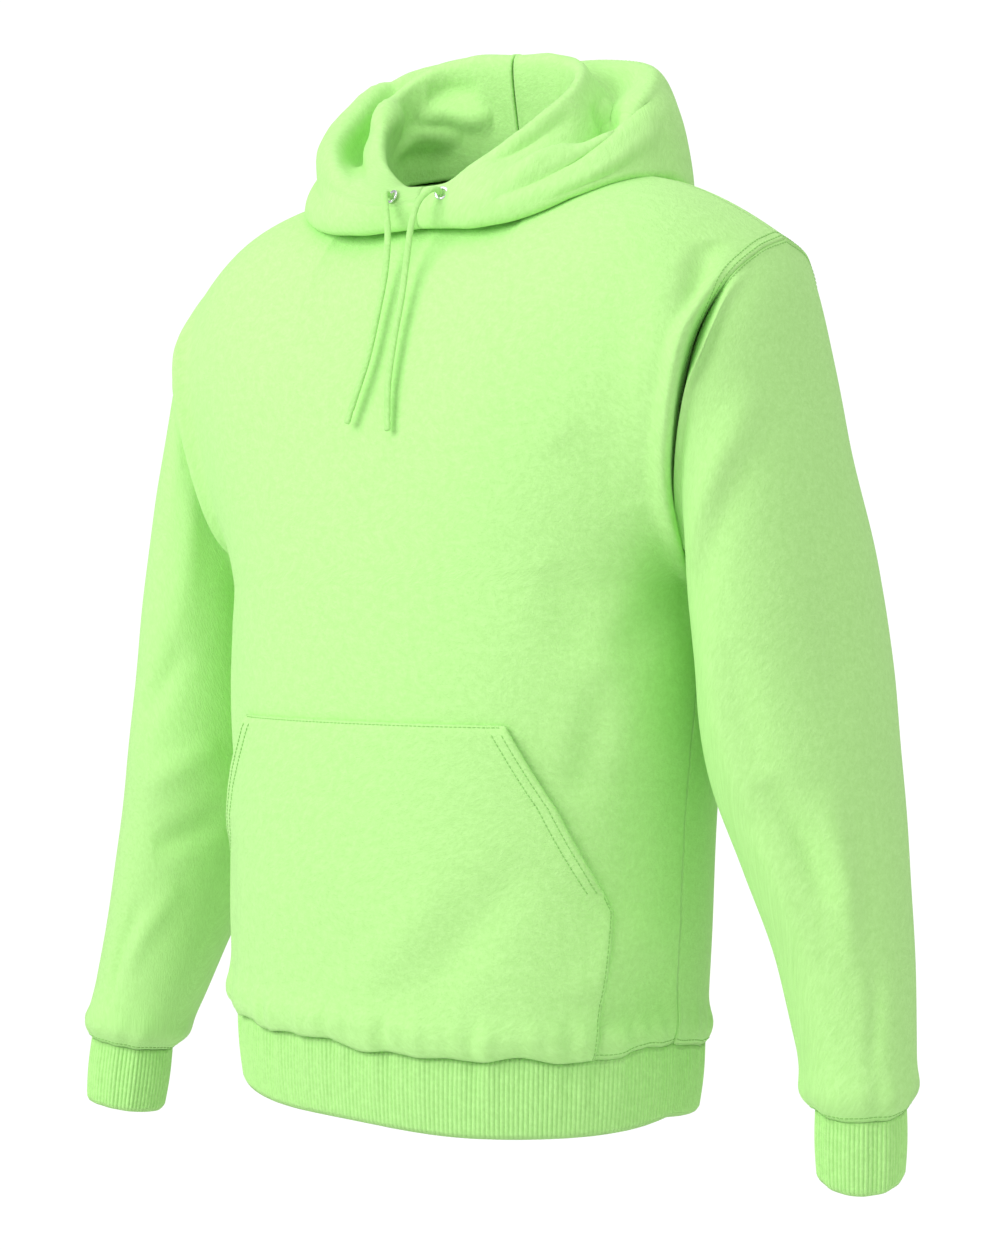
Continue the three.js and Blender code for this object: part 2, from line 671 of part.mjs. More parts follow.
// One hood section: up from the neckline, over the inner edge, dip and ridge, and down to the foot
function hoodSection(neck, isLeft, faces) {
  const turn = Math.atan2(neck.x, HOOD_CENTRE_Y - neck.y);
  const away = vec(Math.sin(turn), -Math.cos(turn), 0);
  const value = (name) => column(HOOD, THREE.MathUtils.radToDeg(turn), name);
  const swell = isLeft ? 0 : value('swell');
  const lift = isLeft ? 0 : value('lift');
  const at = (radius, height) => vec(0, HOOD_CENTRE_Y, height).addScaledVector(away, radius);
  const neckR = Math.hypot(neck.x, neck.y - HOOD_CENTRE_Y);
  const footR = value('footR') + swell;
  const tuck = HOOD_TUCK.depth * smooth((footR - neckR - HOOD_TUCK.from) / HOOD_TUCK.span);
  const stand = at(
    mix(neckR - HOOD_WALL, value('edgeR'), HOOD_STAND.lean),
    mix(neck.z, value('edgeZ'), HOOD_STAND.rise),
  );
  const points = [
    at(neckR - HOOD_WALL, neck.z + SEAM_GAP),
    stand,
    at(value('edgeR'), value('edgeZ') + lift / 2),
    at(value('dipR') + swell / 2, value('dipZ') + lift / 2),
    at(value('ridgeR') + swell, value('ridgeZ') + lift),
    at(value('sideR') + swell, value('sideZ') + lift / 2),
    at(footR, value('footZ')),
    at(footR - tuck - HOOD_TUCK.least, value('footZ') + HOOD_TUCK.rise),
  ];
  const curve = new THREE.CatmullRomCurve3(points, false, 'centripetal');
  return curve.getPoints(HOOD_PROFILE_STEPS).map((p) => {
    const radius = Math.hypot(p.x, p.y - HOOD_CENTRE_Y);
    return radius > neckR ? clearOfBody(p, faces) : p;
  });
}

function hoodGeometry(isLeft) {
  const faces = yokeFaces();
  const outer = necklinePoints().map((neck) => hoodSection(neck, isLeft, faces));
  const normals = gridNormals(outer, false);
  const ends = [0, outer.length - 1];
  outer.forEach((row, j) => {
    const out = vec(row[0].x, row[0].y - HOOD_CENTRE_Y, 0).normalize();
    if (normals[j][0].dot(out) > 0) {
      normals[j].forEach((n) => n.negate());
    }
    normals[j][0] = out.clone().negate();
    if (ends.includes(j)) {
      normals[j].forEach((n) => n.setX(0).normalize());
      row.forEach((p) => p.setX(SEAM_GAP / 2));
    }
  });
  const inner = movedAlong(outer, normals, -HOOD_WALL);
  return isLeft ? wallGeometry(outer, inner, false) : wallGeometry(mirrored(outer), mirrored(inner), false);
}

function eyeletMesh(side) {
  const geometry = new THREE.TorusGeometry(EYELET.ring, EYELET.wire, EYELET_SIDES.wire, EYELET_SIDES.ring);
  const mesh = new THREE.Mesh(geometry, metalMaterial());
  mesh.rotation.order = 'ZYX';
  mesh.rotation.x = THREE.MathUtils.degToRad(90 - EYELET.lean);
  mesh.rotation.z = THREE.MathUtils.degToRad(side * EYELET.turn);
  mesh.position.set(side * EYELET.x, EYELET.y, EYELET.z);
  return mesh;
}

// A drawcord end: a tube along its route with a step every few diameters
function cordGeometry(route) {
  const section = new THREE.Shape();
  section.absarc(0, 0, CORD_DIAMETER / 2, 0, 2 * Math.PI, false);
  const path = new THREE.CatmullRomCurve3(route.map((p) => vec(...p)), false, 'centripetal');
  return new THREE.ExtrudeGeometry(section, {
    steps: CORD_STEPS,
    curveSegments: CORD_SIDES / 2,
    bevelEnabled: false,
    extrudePath: path,
  });
}

function named(mesh, name) {
  mesh.name = name;
  return mesh;
}

function buildHoodie() {
  const hoodie = new THREE.Group();
  const cloth = (name, geometry, colour) => {
    hoodie.add(named(new THREE.Mesh(geometry, clothMaterial(colour)), name));
  };
  cloth('front', bodyPanel(true), COLOURS.cloth);
  cloth('back', bodyPanel(false), COLOURS.cloth);
  cloth('hem_band', hemGeometry(), COLOURS.rib);
  cloth('pouch_pocket', pocketGeometry(), COLOURS.cloth);
  [true, false].forEach((isLeft) => {
    const side = isLeft ? 'left' : 'right';
    cloth(`sleeve_${side}`, sleeveGeometry(isLeft), COLOURS.cloth);
    cloth(`cuff_${side}`, cuffGeometry(isLeft), COLOURS.rib);
    cloth(`hood_${side}`, hoodGeometry(isLeft), COLOURS.cloth);
    hoodie.add(named(eyeletMesh(isLeft ? 1 : -1), `eyelet_${side}`));
    cloth(`drawcord_${side}`, cordGeometry(isLeft ? CORD_LEFT_ROUTE : CORD_RIGHT_ROUTE), COLOURS.cord);
  });
  return hoodie;
}

const group = buildHoodie();

export default group;
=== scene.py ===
"""A pullover hoodie in its worn shape: cloth shells, stitching, cords and a studio."""

from __future__ import annotations

import logging
import math
from dataclasses import dataclass, field
from enum import Enum

import bmesh
import bpy
import numpy as np
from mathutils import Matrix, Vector
from mathutils.bvhtree import BVHTree


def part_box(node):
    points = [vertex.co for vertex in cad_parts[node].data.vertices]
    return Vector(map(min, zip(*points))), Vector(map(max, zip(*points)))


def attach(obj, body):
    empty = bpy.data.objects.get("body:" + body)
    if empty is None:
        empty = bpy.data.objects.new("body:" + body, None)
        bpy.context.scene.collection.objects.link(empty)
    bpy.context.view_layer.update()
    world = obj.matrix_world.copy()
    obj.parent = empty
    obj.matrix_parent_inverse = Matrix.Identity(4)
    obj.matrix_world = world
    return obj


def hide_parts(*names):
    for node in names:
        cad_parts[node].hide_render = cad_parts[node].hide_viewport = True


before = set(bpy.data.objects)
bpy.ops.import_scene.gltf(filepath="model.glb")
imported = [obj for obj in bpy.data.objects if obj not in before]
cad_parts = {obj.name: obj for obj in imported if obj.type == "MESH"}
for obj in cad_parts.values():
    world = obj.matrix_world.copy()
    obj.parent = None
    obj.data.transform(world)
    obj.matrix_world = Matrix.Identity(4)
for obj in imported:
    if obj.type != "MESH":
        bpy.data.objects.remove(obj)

LOG = logging.getLogger("hoodie")
MM = 0.001
Array = np.ndarray

# Sizes in millimetres, as in the part's source
WALL = 2.2
HOOD_WALL = 3.0
SEAM_GAP = 0.3
ROUNDNESS = 2.25
NECK_COLUMN = 0.3
NECK_HALF_WIDTH = 82.0
NECK_SIDE = (-5.0, 2.0)
NECK_FRONT = (-77.0, -36.0)
NECK_BACK = (45.0, 12.0)
SHOULDER_CURVE = 17.0
HEM_SLANT = 0.08
ARMHOLE_PULL = 4
SPREAD = (20.0, 10.0, 0.5)
CUBIC_MIDDLE = 8.0
SEAM_FADE = 0.25
SLEEVE_FULLNESS = 0.92


def hermite(start: Array, end: Array, leave: Array, arrive: Array, t: Array) -> Array:
    """Cubic between two values with the slopes it leaves and arrives with.

    Args:
        start: Value at t 0.
        end: Value at t 1.
        leave: Slope at t 0.
        arrive: Slope at t 1.
        t: Place from 0 to 1.

    Returns:
        The value at t.
    """
    t2 = t * t
    t3 = t2 * t
    ends = start * (2 * t3 - 3 * t2 + 1) + end * (3 * t2 - 2 * t3)
    return ends + leave * (t3 - 2 * t2 + t) + arrive * (t3 - t2)


def mix(a: Array, b: Array, t: Array) -> Array:
    """Straight blend from a to b.

    Args:
        a: Value at t 0.
        b: Value at t 1.
        t: Place from 0 to 1.

    Returns:
        The blended value.
    """
    return a + (b - a) * t


def smooth(t: Array) -> Array:
    """Smooth step from 0 to 1.

    Args:
        t: Place, clipped to 0 and 1.

    Returns:
        The eased place.
    """
    c = np.clip(t, 0.0, 1.0)
    return c * c * (3 - 2 * c)


def bell(distance: Array, width: float) -> Array:
    """Soft bell that is 1 at distance 0.

    Args:
        distance: Distance from the middle.
        width: Distance at which it falls to a third.

    Returns:
        The bell's height.
    """
    return np.exp(-((distance / width) ** 2))


class Table:
    """Rows of named columns read on a smooth cubic, the first column being the place."""

    def __init__(self, names: str, rows: tuple[tuple[float, ...], ...]) -> None:
        """Keeps the rows.

        Args:
            names: The columns' names with spaces between.
            rows: The rows in order of place.
        """
        self.names = names.split()
        self.rows = np.array(rows, float)

    def read(self, place: Array, name: str) -> Array:
        """One column between its rows.

        Args:
            place: Places along the first column.
            name: The column's name.

        Returns:
            The column's values at the places.
        """
        at = self.rows[:, 0]
        value = self.rows[:, self.names.index(name)]
        last = len(at) - 1
        low = np.clip(np.searchsorted(at, place, side="left") - 1, 0, last - 1)
        before = np.maximum(np.arange(last + 1) - 1, 0)
        after = np.minimum(np.arange(last + 1) + 1, last)
        slope = (value[after] - value[before]) / (at[after] - at[before])
        span = at[low + 1] - at[low]
        t = (place - at[low]) / span
        return hermite(value[low], value[low + 1], slope[low] * span, slope[low + 1] * span, t)


BODY = Table(
    "at half sideY frontY backY frontZ sideZ backZ",
    (
        (0.0, 181, -31, -173, 106, -627, -611, -628),
        (0.25, 184, -28, -174, 112, -550, -540, -548),
        (0.5, 186, -25, -173, 114, -469, -464, -468),
        (0.75, 190, -18, -171, 114, -386, -384, -386),
        (1.0, 196, -10, -166, 113, -300, -300, -300),
    ),
)
ARMHOLE = Table(
    "at x y z",
    (
        (0.0, 246, 14, -52),
        (0.1, 246, -22, -64),
        (0.2, 242, -60, -90),
        (0.3, 233, -88, -145),
        (0.4, 213, -72, -235),
        (0.5, 196, -10, -300),
        (0.6, 213, 54, -235),
        (0.7, 231, 76, -150),
        (0.8, 241, 66, -96),
        (0.9, 246, 44, -64),
        (1.0, 246, 14, -52),
    ),
)
SLEEVE = Table(
    "at outX outZ inX inZ y front back",
    (
        (0.0, 246, -52, 196, -300, -8, 84, 80),
        (0.1, 261, -92, 203, -318, -3, 90, 84),
        (0.22, 279, -180, 205, -338, 3, 94, 88),
        (0.36, 299, -270, 205, -368, 8, 98, 94),
        (0.5, 312, -345, 207, -410, 10, 98, 92),
        (0.62, 324, -410, 216, -455, 8, 90, 85),
        (0.74, 338, -478, 238, -505, 2, 74, 71),
        (0.84, 351, -540, 262, -560, -6, 57, 56),
        (0.93, 363, -605, 282, -620, -16, 44, 45),
        (0.975, 368, -641, 291, -646, -24, 39, 39),
        (1.0, 365, -657, 301, -660, -27, 32, 32),
    ),
)
POCKET = Table(
    "at half",
    ((0.0, 162), (0.24, 168), (0.33, 170), (0.37, 167), (0.55, 145), (0.72, 116)),
)
HOOD = Table(
    "at edgeR edgeZ dipR dipZ ridgeR ridgeZ sideR sideZ footR footZ swell lift",
    (
        (0, 48, -15, 52, -12, 57, -16, 60, -25, 58, -37, 0, 0),
        (20, 53, -12, 58, -11, 63, -16, 67, -26, 65, -38, 0, 0),
        (40, 61, 3, 69, -2, 78, -12, 85, -26, 83, -39, 3, 0),
        (60, 66, 19, 79, 3, 93, -8, 102, -22, 100, -35, 8, 4),
        (80, 72, 38, 90, 10, 109, 10, 120, -6, 117, -27, 12, 10),
        (100, 81, 59, 101, 16, 123, 37, 138, 8, 137, -17, 9, 15),
        (115, 83, 75, 108, 32, 137, 65, 153, 20, 156, -12, 2, 16),
        (130, 79, 87, 105, 62, 133, 84, 161, 22, 159, -38, 0, 14),
        (150, 66, 94, 90, 84, 116, 92, 158, 10, 152, -72, 0, 8),
        (180, 59, 96, 80, 90, 104, 93, 150, 0, 146, -90, 0, 0),
    ),
)


class Side(Enum):
    """The wearer's sides, with the sign of x."""

    LEFT = 1
    RIGHT = -1

    @property
    def word(self) -> str:
        """The side's name in lower case."""
        return self.name.lower()


class Panel(Enum):
    """The body's two panels, with the direction of y that each faces."""

    FRONT = -1
    BACK = 1


@dataclass(frozen=True)
class Fold:
    """A soft ridge, or trough where the height is negative, along a path in a piece's flat sizes.

    Attributes:
        path: Corners of the path, two numbers each.
        width: Half width at a third of the height.
        height: Height above the plain cloth.
    """

    path: tuple[tuple[float, float], ...]
    width: float
    height: float

    def lift(self, a: Array, b: Array) -> Array:
        """Height of the cloth over its plain form.

        Args:
            a: First flat coordinate of each point.
            b: Second flat coordinate of each point.

        Returns:
            The fold's height at each point.
        """
        corners = np.array(self.path, float)
        steps = np.diff(corners, axis=0)
        lengths = np.linalg.norm(steps, axis=1)
        total = lengths.sum()
        best = np.full(a.shape, np.inf)
        along = np.zeros(a.shape)
        start = 0.0
        for corner, step, length in zip(corners[:-1], steps, lengths):
            t = np.clip(((a - corner[0]) * step[0] + (b - corner[1]) * step[1]) / length**2, 0, 1)
            distance = np.hypot(a - corner[0] - t * step[0], b - corner[1] - t * step[1])
            closer = distance < best
            best = np.where(closer, distance, best)
            along = np.where(closer, (start + t * length) / total, along)
            start += length
        taper = np.sin(np.pi * np.clip(along, 0.0, 1.0)) ** 0.6
        return self.height * bell(best, self.width) * taper


def folds_lift(folds: tuple[Fold, ...], a: Array, b: Array) -> Array:
    """Sum of a piece's folds.

    Args:
        folds: The folds.
        a: First flat coordinate of each point.
        b: Second flat coordinate of each point.

    Returns:
        The height of all folds together.
    """
    return sum((fold.lift(a, b) for fold in folds), np.zeros(a.shape))


def uneven(place: Array, phase: float, *waves: float) -> Array:
    """Uneven waviness from a few wavelengths that don't repeat together.

    Args:
        place: Distance along the cloth.
        phase: Shifts the pattern.
        waves: Wavelengths.

    Returns:
        Waviness from about -1 to 1.
    """
    total = np.zeros(np.shape(place))
    for k, wave in enumerate(waves):
        total = total + np.sin(2 * np.pi * place / wave + phase * (k + 1) * 1.7)
    return total / len(waves)


@dataclass
class Cloth:
    """A grid of surface points in millimetres, rows by columns, that a shell is made from.

    Attributes:
        points: Rows by columns by three.
        is_ring: The last column repeats the first.
        _normals: The normals, kept once they are worked out.
    """

    points: Array
    is_ring: bool = False
    _normals: Array | None = field(default=None, repr=False)

    @property
    def normals(self) -> Array:
        """Unit normals from the neighbouring points.

        Returns:
            Rows by columns by three.
        """
        if self._normals is None:
            p = self.points
            if self.is_ring:
                across = np.roll(p[:, :-1], -1, axis=1) - np.roll(p[:, :-1], 1, axis=1)
                across = np.concatenate([across, across[:, :1]], axis=1)
            else:
                across = np.gradient(p, axis=1)
            up = np.gradient(p, axis=0)
            n = np.cross(across, up)
            self._normals = n / np.maximum(np.linalg.norm(n, axis=2, keepdims=True), 1e-9)
        return self._normals

    @property
    def across(self) -> Array:
        """Distance along each row from its first column."""
        steps = np.linalg.norm(np.diff(self.points, axis=1), axis=2)
        return np.concatenate([np.zeros((len(steps), 1)), np.cumsum(steps, axis=1)], axis=1)

    @property
    def up(self) -> Array:
        """Distance along each column from its first row."""
        steps = np.linalg.norm(np.diff(self.points, axis=0), axis=2)
        return np.concatenate([np.zeros((1, steps.shape[1])), np.cumsum(steps, axis=0)], axis=0)

    def raised(self, height: Array) -> Cloth:
        """The same cloth with each point moved along its normal.

        Args:
            height: How far each point moves.

        Returns:
            The moved cloth.
        """
        return Cloth(self.points + self.normals * np.asarray(height)[..., None], self.is_ring)

    def line(self, rows: Array, columns: Array) -> tuple[Array, Array]:
        """Points and normals along a line over the grid.

        Args:
            rows: Row places, whole or between rows.
            columns: Column places, whole or between columns.

        Returns:
            The points and the normals.
        """
        last_row, last_column = self.points.shape[0] - 1, self.points.shape[1] - 1
        r = np.clip(rows, 0, last_row)
        c = np.clip(columns, 0, last_column)
        r0 = np.minimum(r.astype(int), last_row - 1)
        c0 = np.minimum(c.astype(int), last_column - 1)
        fr = (r - r0)[:, None]
        fc = (c - c0)[:, None]
        found = []
        for grid in (self.points, self.normals):
            low = grid[r0, c0] * (1 - fc) + grid[r0, c0 + 1] * fc
            high = grid[r0 + 1, c0] * (1 - fc) + grid[r0 + 1, c0 + 1] * fc
            found.append(low * (1 - fr) + high * fr)
        return found[0], found[1]


def quarter(u: Array) -> tuple[Array, Array]:
    """A quarter of a rounded oval.

    Args:
        u: Place from the middle (0) to the side (1).

    Returns:
        Shares of the half width and of the depth.
    """
    turn = u * np.pi / 2
    power = 2 / ROUNDNESS
    return np.maximum(np.sin(turn), 0) ** power, np.maximum(np.cos(turn), 0) ** power


def armhole(turn: Array) -> Array:
    """Points of the left armhole seam.

    Args:
        turn: Once round from the shoulder tip by the front.

    Returns:
        The seam's points.
    """
    place = np.mod(turn, 1.0)
    return np.stack([ARMHOLE.read(place, name) for name in "xyz"], axis=-1)


def top_edge(u: Array, panel: Panel) -> Array:
    """Neckline and shoulder seam of a body panel's left half.

    Args:
        u: Place from the middle to the armhole.
        panel: Which panel.

    Returns:
        The edge's points.
    """
    neck = NECK_FRONT if panel is Panel.FRONT else NECK_BACK
    turn = np.minimum(u / NECK_COLUMN, 1) * np.pi / 2
    neckline = np.stack(
        [
            NECK_HALF_WIDTH * np.sin(turn),
            mix(NECK_SIDE[0], neck[0], np.cos(turn)),
            mix(NECK_SIDE[1], neck[1], np.cos(turn)),
        ],
        axis=-1,
    )
    t = np.clip((u - NECK_COLUMN) / (1 - NECK_COLUMN), 0, 1)
    tip = armhole(np.zeros(1))[0]
    shoulder = np.stack(
        [
            mix(NECK_HALF_WIDTH, tip[0], t),
            mix(NECK_SIDE[0], tip[1], t),
            mix(NECK_SIDE[1], tip[2], t) + SHOULDER_CURVE * np.sin(np.pi * t),
        ],
        axis=-1,
    )
    return np.where((u <= NECK_COLUMN)[..., None], neckline, shoulder)


def body_point(u: Array, v: Array, panel: Panel) -> Array:
    """Points on the left half of a body panel.

    Args:
        u: Place from the middle to the side.
        v: Place from the hem seam to the armpit (1) and the top seams (2).
        panel: Which panel.

    Returns:
        The points.
    """
    is_front = panel is Panel.FRONT
    across, depth = quarter(u)
    level = np.minimum(v, 1.0)
    word = "front" if is_front else "back"
    low = np.stack(
        [
            BODY.read(level, "half") * across,
            mix(BODY.read(level, "sideY"), BODY.read(level, f"{word}Y"), depth),
            mix(BODY.read(level, f"{word}Z"), BODY.read(level, "sideZ"), u * u),
        ],
        axis=-1,
    )
    w = np.maximum(v - 1, 0)
    leave_y, leave_z, chest_y, side_y, neck_z, tip_z = (
        (25, 250, -140, -92, 120, 50) if is_front else (-10, 250, 112, 80, 110, 50)
    )

    def climb(place: Array, start: Array, end: Array) -> Array:
        """Lines up the yoke from a level below to a level above.

        Args:
            place: Places across the panel.
            start: Points at the foot of the lines.
            end: Points at their top.

        Returns:
            The points between.
        """
        chest = mix(side_y, chest_y, quarter(place)[1])
        arrive_y = leave_y - CUBIC_MIDDLE * (chest - (start[..., 1] + end[..., 1]) / 2)
        arrive_z = mix(neck_z, tip_z, smooth((place - NECK_COLUMN) / SPREAD[2]))
        return np.stack(
            [
                hermite(start[..., 0], end[..., 0], SPREAD[0] * place, SPREAD[1] * place, w),
                hermite(start[..., 1], end[..., 1], leave_y, arrive_y, w),
                hermite(start[..., 2], end[..., 2], leave_z, arrive_z, w),
            ],
            axis=-1,
        )

    high = climb(u, low, top_edge(u, panel))
    seam = armhole(0.5 - 0.5 * w if is_front else 0.5 + 0.5 * w)
    whole = np.ones_like(u)
    edge = climb(whole, armhole(0.5 * whole), armhole(0 * whole))
    high = high + (seam - edge) * (u**ARMHOLE_PULL)[..., None]
    return np.where((v <= 1)[..., None], low, high)


def body_cloth(panel: Panel, across: Array, rows: Array) -> Cloth:
    """A whole body panel's plain surface.

    Args:
        panel: Which panel.
        across: Column places from -1 to 1, positive on the wearer's left.
        rows: Row places from 0 to 2.

    Returns:
        The cloth, its normals facing out.
    """
    u, v = np.meshgrid(across, rows)
    points = body_point(np.abs(u), v, panel)
    points[..., 0] *= np.where(u < 0, -1, 1)
    points[..., 2] -= points[..., 0] * HEM_SLANT * np.maximum(1 - v, 0)
    if panel is Panel.BACK:
        points = points[:, ::-1]
    return Cloth(points)


def sleeve_ring(turn: Array, place: Array) -> Array:
    """Points of the left sleeve's plain rings.

    Args:
        turn: Once round from the outer point by the front.
        place: Place from the armhole to the cuff.

    Returns:
        The points.
    """
    angle = turn * 2 * np.pi
    along = (np.cos(angle) + 1) / 2
    is_front = np.mod(turn, 1.0) < 0.5
    fullness = np.abs(np.sin(angle)) ** SLEEVE_FULLNESS
    depth = np.where(is_front, -SLEEVE.read(place, "front"), SLEEVE.read(place, "back")) * fullness
    return np.stack(
        [
            mix(SLEEVE.read(place, "inX"), SLEEVE.read(place, "outX"), along),
            SLEEVE.read(place, "y") + depth,
            mix(SLEEVE.read(place, "inZ"), SLEEVE.read(place, "outZ"), along),
        ],
        axis=-1,
    )


def sleeve_point(turn: Array, place: Array) -> Array:
    """Points of the left sleeve, drawn onto the armhole seam near the top.

    Args:
        turn: Once round from the outer point by the front.
        place: Place from the armhole to the cuff.

    Returns:
        The points.
    """
    fade = np.maximum(1 - place / SEAM_FADE, 0) ** 2
    pull = armhole(turn) - sleeve_ring(turn, np.zeros_like(place))
    return sleeve_ring(turn, place) + pull * fade[..., None]


@dataclass(frozen=True)
class ArmpitCrease:
    """The crease in front of the armpit, into which both sides of the armhole seam sink.

    Attributes:
        depth: How far the seam sinks.
        width: How far from the seam the cloth follows.
        top: Height at which the crease starts.
        foot: Height at which it ends.
        fade_top: Height over which it comes in below its top.
        fade_foot: Height over which it goes out above its foot.
        inward: Share of the sinking that goes towards the body's middle.
        backward: Share of it that goes to the back.
    """

    depth: float = 24.0
    width: float = 6.0
    top: float = -72.0
    foot: float = -300.0
    fade_top: float = 55.0
    fade_foot: float = 45.0
    inward: float = 0.6
    backward: float = 0.8

    def share(self, points: Array) -> Array:
        """Share of the crease at each height.

        Args:
            points: Points of the body or of a sleeve.

        Returns:
            Shares from 0 to 1.
        """
        z = points[..., 2]
        return smooth((self.top - z) / self.fade_top) * smooth((z - self.foot) / self.fade_foot)

    def sink(self, points: Array, distance: Array) -> Array:
        """How the cloth near the armhole seam sinks into the crease.

        Args:
            points: Points of the body or of a sleeve.
            distance: Their distance from the seam.

        Returns:
            The move of each point.
        """
        across = -self.inward * np.sign(points[..., 0])
        way = np.stack([across, np.full_like(across, self.backward), 0 * across], axis=-1)
        return way * (self.depth * self.share(points) * bell(distance, self.width))[..., None]


CREASE = ArmpitCrease()


class NodeGraph:
    """Short words for building a material's nodes."""

    def __init__(self, owner: bpy.types.Material | bpy.types.World) -> None:
        """Clears the owner's nodes.

        Args:
            owner: The material or the world that the nodes belong to.
        """
        owner.use_nodes = True
        self.tree = owner.node_tree
        self.tree.nodes.clear()

    def add(self, kind: str, **inputs: object) -> bpy.types.Node:
        """A node with its input values set or linked.

        Args:
            kind: The node's type name.
            inputs: Values or output sockets by input name, with spaces as underscores.

        Returns:
            The node.
        """
        node = self.tree.nodes.new(kind)
        for name, value in inputs.items():
            socket = node.inputs[name.replace("_", " ")]
            if isinstance(value, bpy.types.NodeSocket):
                self.tree.links.new(value, socket)
            else:
                socket.default_value = value
        return node

    def link(self, start: bpy.types.NodeSocket, end: bpy.types.NodeSocket) -> None:
        """Joins two sockets.

        Args:
            start: An output.
            end: An input.
        """
        self.tree.links.new(start, end)


@dataclass(frozen=True)
class ClothFinish:
    """Brushed fleece jersey or rib knit, coloured all through.

    Attributes:
        name: Material name.
        light: Colour, linear, where the nap's noise and the mottle are high: painted highlight on
            the raised nap, with random mottle.
        deep: Colour, linear, where they are low: painted shade in the nap's hollows, with random
            mottle.
        knit: Strength of the knit's fine relief.
        nap: Strength of the nap's soft unevenness.
        sheen: Weight of the soft sheen.
    """

    name: str
    light: tuple[float, float, float]
    deep: tuple[float, float, float]
    knit: float = 0.5
    nap: float = 0.5
    sheen: float = 0.25

    def make(self) -> bpy.types.Material:
        """The material.

        Returns:
            A new material.
        """
        material = bpy.data.materials.new(self.name)
        graph = NodeGraph(material)
        place = graph.add("ShaderNodeTexCoord")
        uv = place.outputs["UV"]
        fine = graph.add("ShaderNodeMapping", Vector=uv, Scale=(1.0, 0.55, 1.0))
        wale = graph.add(
            "ShaderNodeTexNoise", Vector=fine.outputs["Vector"], Scale=1500.0, Detail=3.0
        )
        nap = graph.add("ShaderNodeTexNoise", Vector=uv, Scale=340.0, Detail=5.0, Roughness=0.62)
        mottle = graph.add("ShaderNodeTexNoise", Vector=uv, Scale=150.0, Detail=4.0, Roughness=0.6)
        # Painted shade and highlight: the colour follows the nap noise that also drives the nap
        # bump, times a random mottle, so the nap's hollows are painted darker and its raised spots
        # lighter.
        blend = graph.add("ShaderNodeMix")
        blend.data_type = "RGBA"
        nap_shade_and_mottle = graph.add("ShaderNodeMath", Value=nap.outputs["Fac"])
        nap_shade_and_mottle.operation = "MULTIPLY"
        graph.link(mottle.outputs["Fac"], nap_shade_and_mottle.inputs[1])
        scale = graph.add("ShaderNodeMapRange", Value=nap_shade_and_mottle.outputs["Value"])
        scale.inputs["From Min"].default_value = 0.16
        scale.inputs["From Max"].default_value = 0.36
        graph.link(scale.outputs["Result"], blend.inputs["Factor"])
        # The deep colour is the painted-shade end and the light colour the painted-highlight end.
        for socket in blend.inputs:
            if socket.identifier == "A_Color":
                socket.default_value = (*self.deep, 1)
            if socket.identifier == "B_Color":
                socket.default_value = (*self.light, 1)
        first = graph.add(
            "ShaderNodeBump", Strength=self.knit, Distance=0.0006, Height=wale.outputs["Fac"]
        )
        second = graph.add(
            "ShaderNodeBump",
            Strength=self.nap,
            Distance=0.0014,
            Height=nap.outputs["Fac"],
            Normal=first.outputs["Normal"],
        )
        shader = graph.add(
            "ShaderNodeBsdfPrincipled", Roughness=0.95, Normal=second.outputs["Normal"]
        )
        colour = next(s for s in blend.outputs if s.identifier == "Result_Color")
        graph.link(colour, shader.inputs["Base Color"])
        shader.inputs["Specular IOR Level"].default_value = 0.2
        shader.inputs["Sheen Weight"].default_value = self.sheen
        shader.inputs["Sheen Roughness"].default_value = 0.55
        shader.inputs["Sheen Tint"].default_value = (0.8, 1.0, 0.62, 1)
        out = graph.add("ShaderNodeOutputMaterial")
        graph.link(shader.outputs["BSDF"], out.inputs["Surface"])
        return material


@dataclass(frozen=True)
class MetalFinish:
    """Polished plated metal with faint rubbed marks.

    Attributes:
        name: Material name.
        colour: Colour, linear.
    """

    name: str
    colour: tuple[float, float, float]

    def make(self) -> bpy.types.Material:
        """The material.

        Returns:
            A new material.
        """
        material = bpy.data.materials.new(self.name)
        graph = NodeGraph(material)
        place = graph.add("ShaderNodeTexCoord")
        marks = graph.add(
            "ShaderNodeTexNoise", Vector=place.outputs["Object"], Scale=900.0, Detail=3.0
        )
        rough = graph.add("ShaderNodeMapRange", Value=marks.outputs["Fac"])
        rough.inputs["To Min"].default_value = 0.16
        rough.inputs["To Max"].default_value = 0.34
        shader = graph.add(
            "ShaderNodeBsdfPrincipled", Metallic=1.0, Roughness=rough.outputs["Result"]
        )
        shader.inputs["Base Color"].default_value = (*self.colour, 1)
        out = graph.add("ShaderNodeOutputMaterial")
        graph.link(shader.outputs["BSDF"], out.inputs["Surface"])
        return material


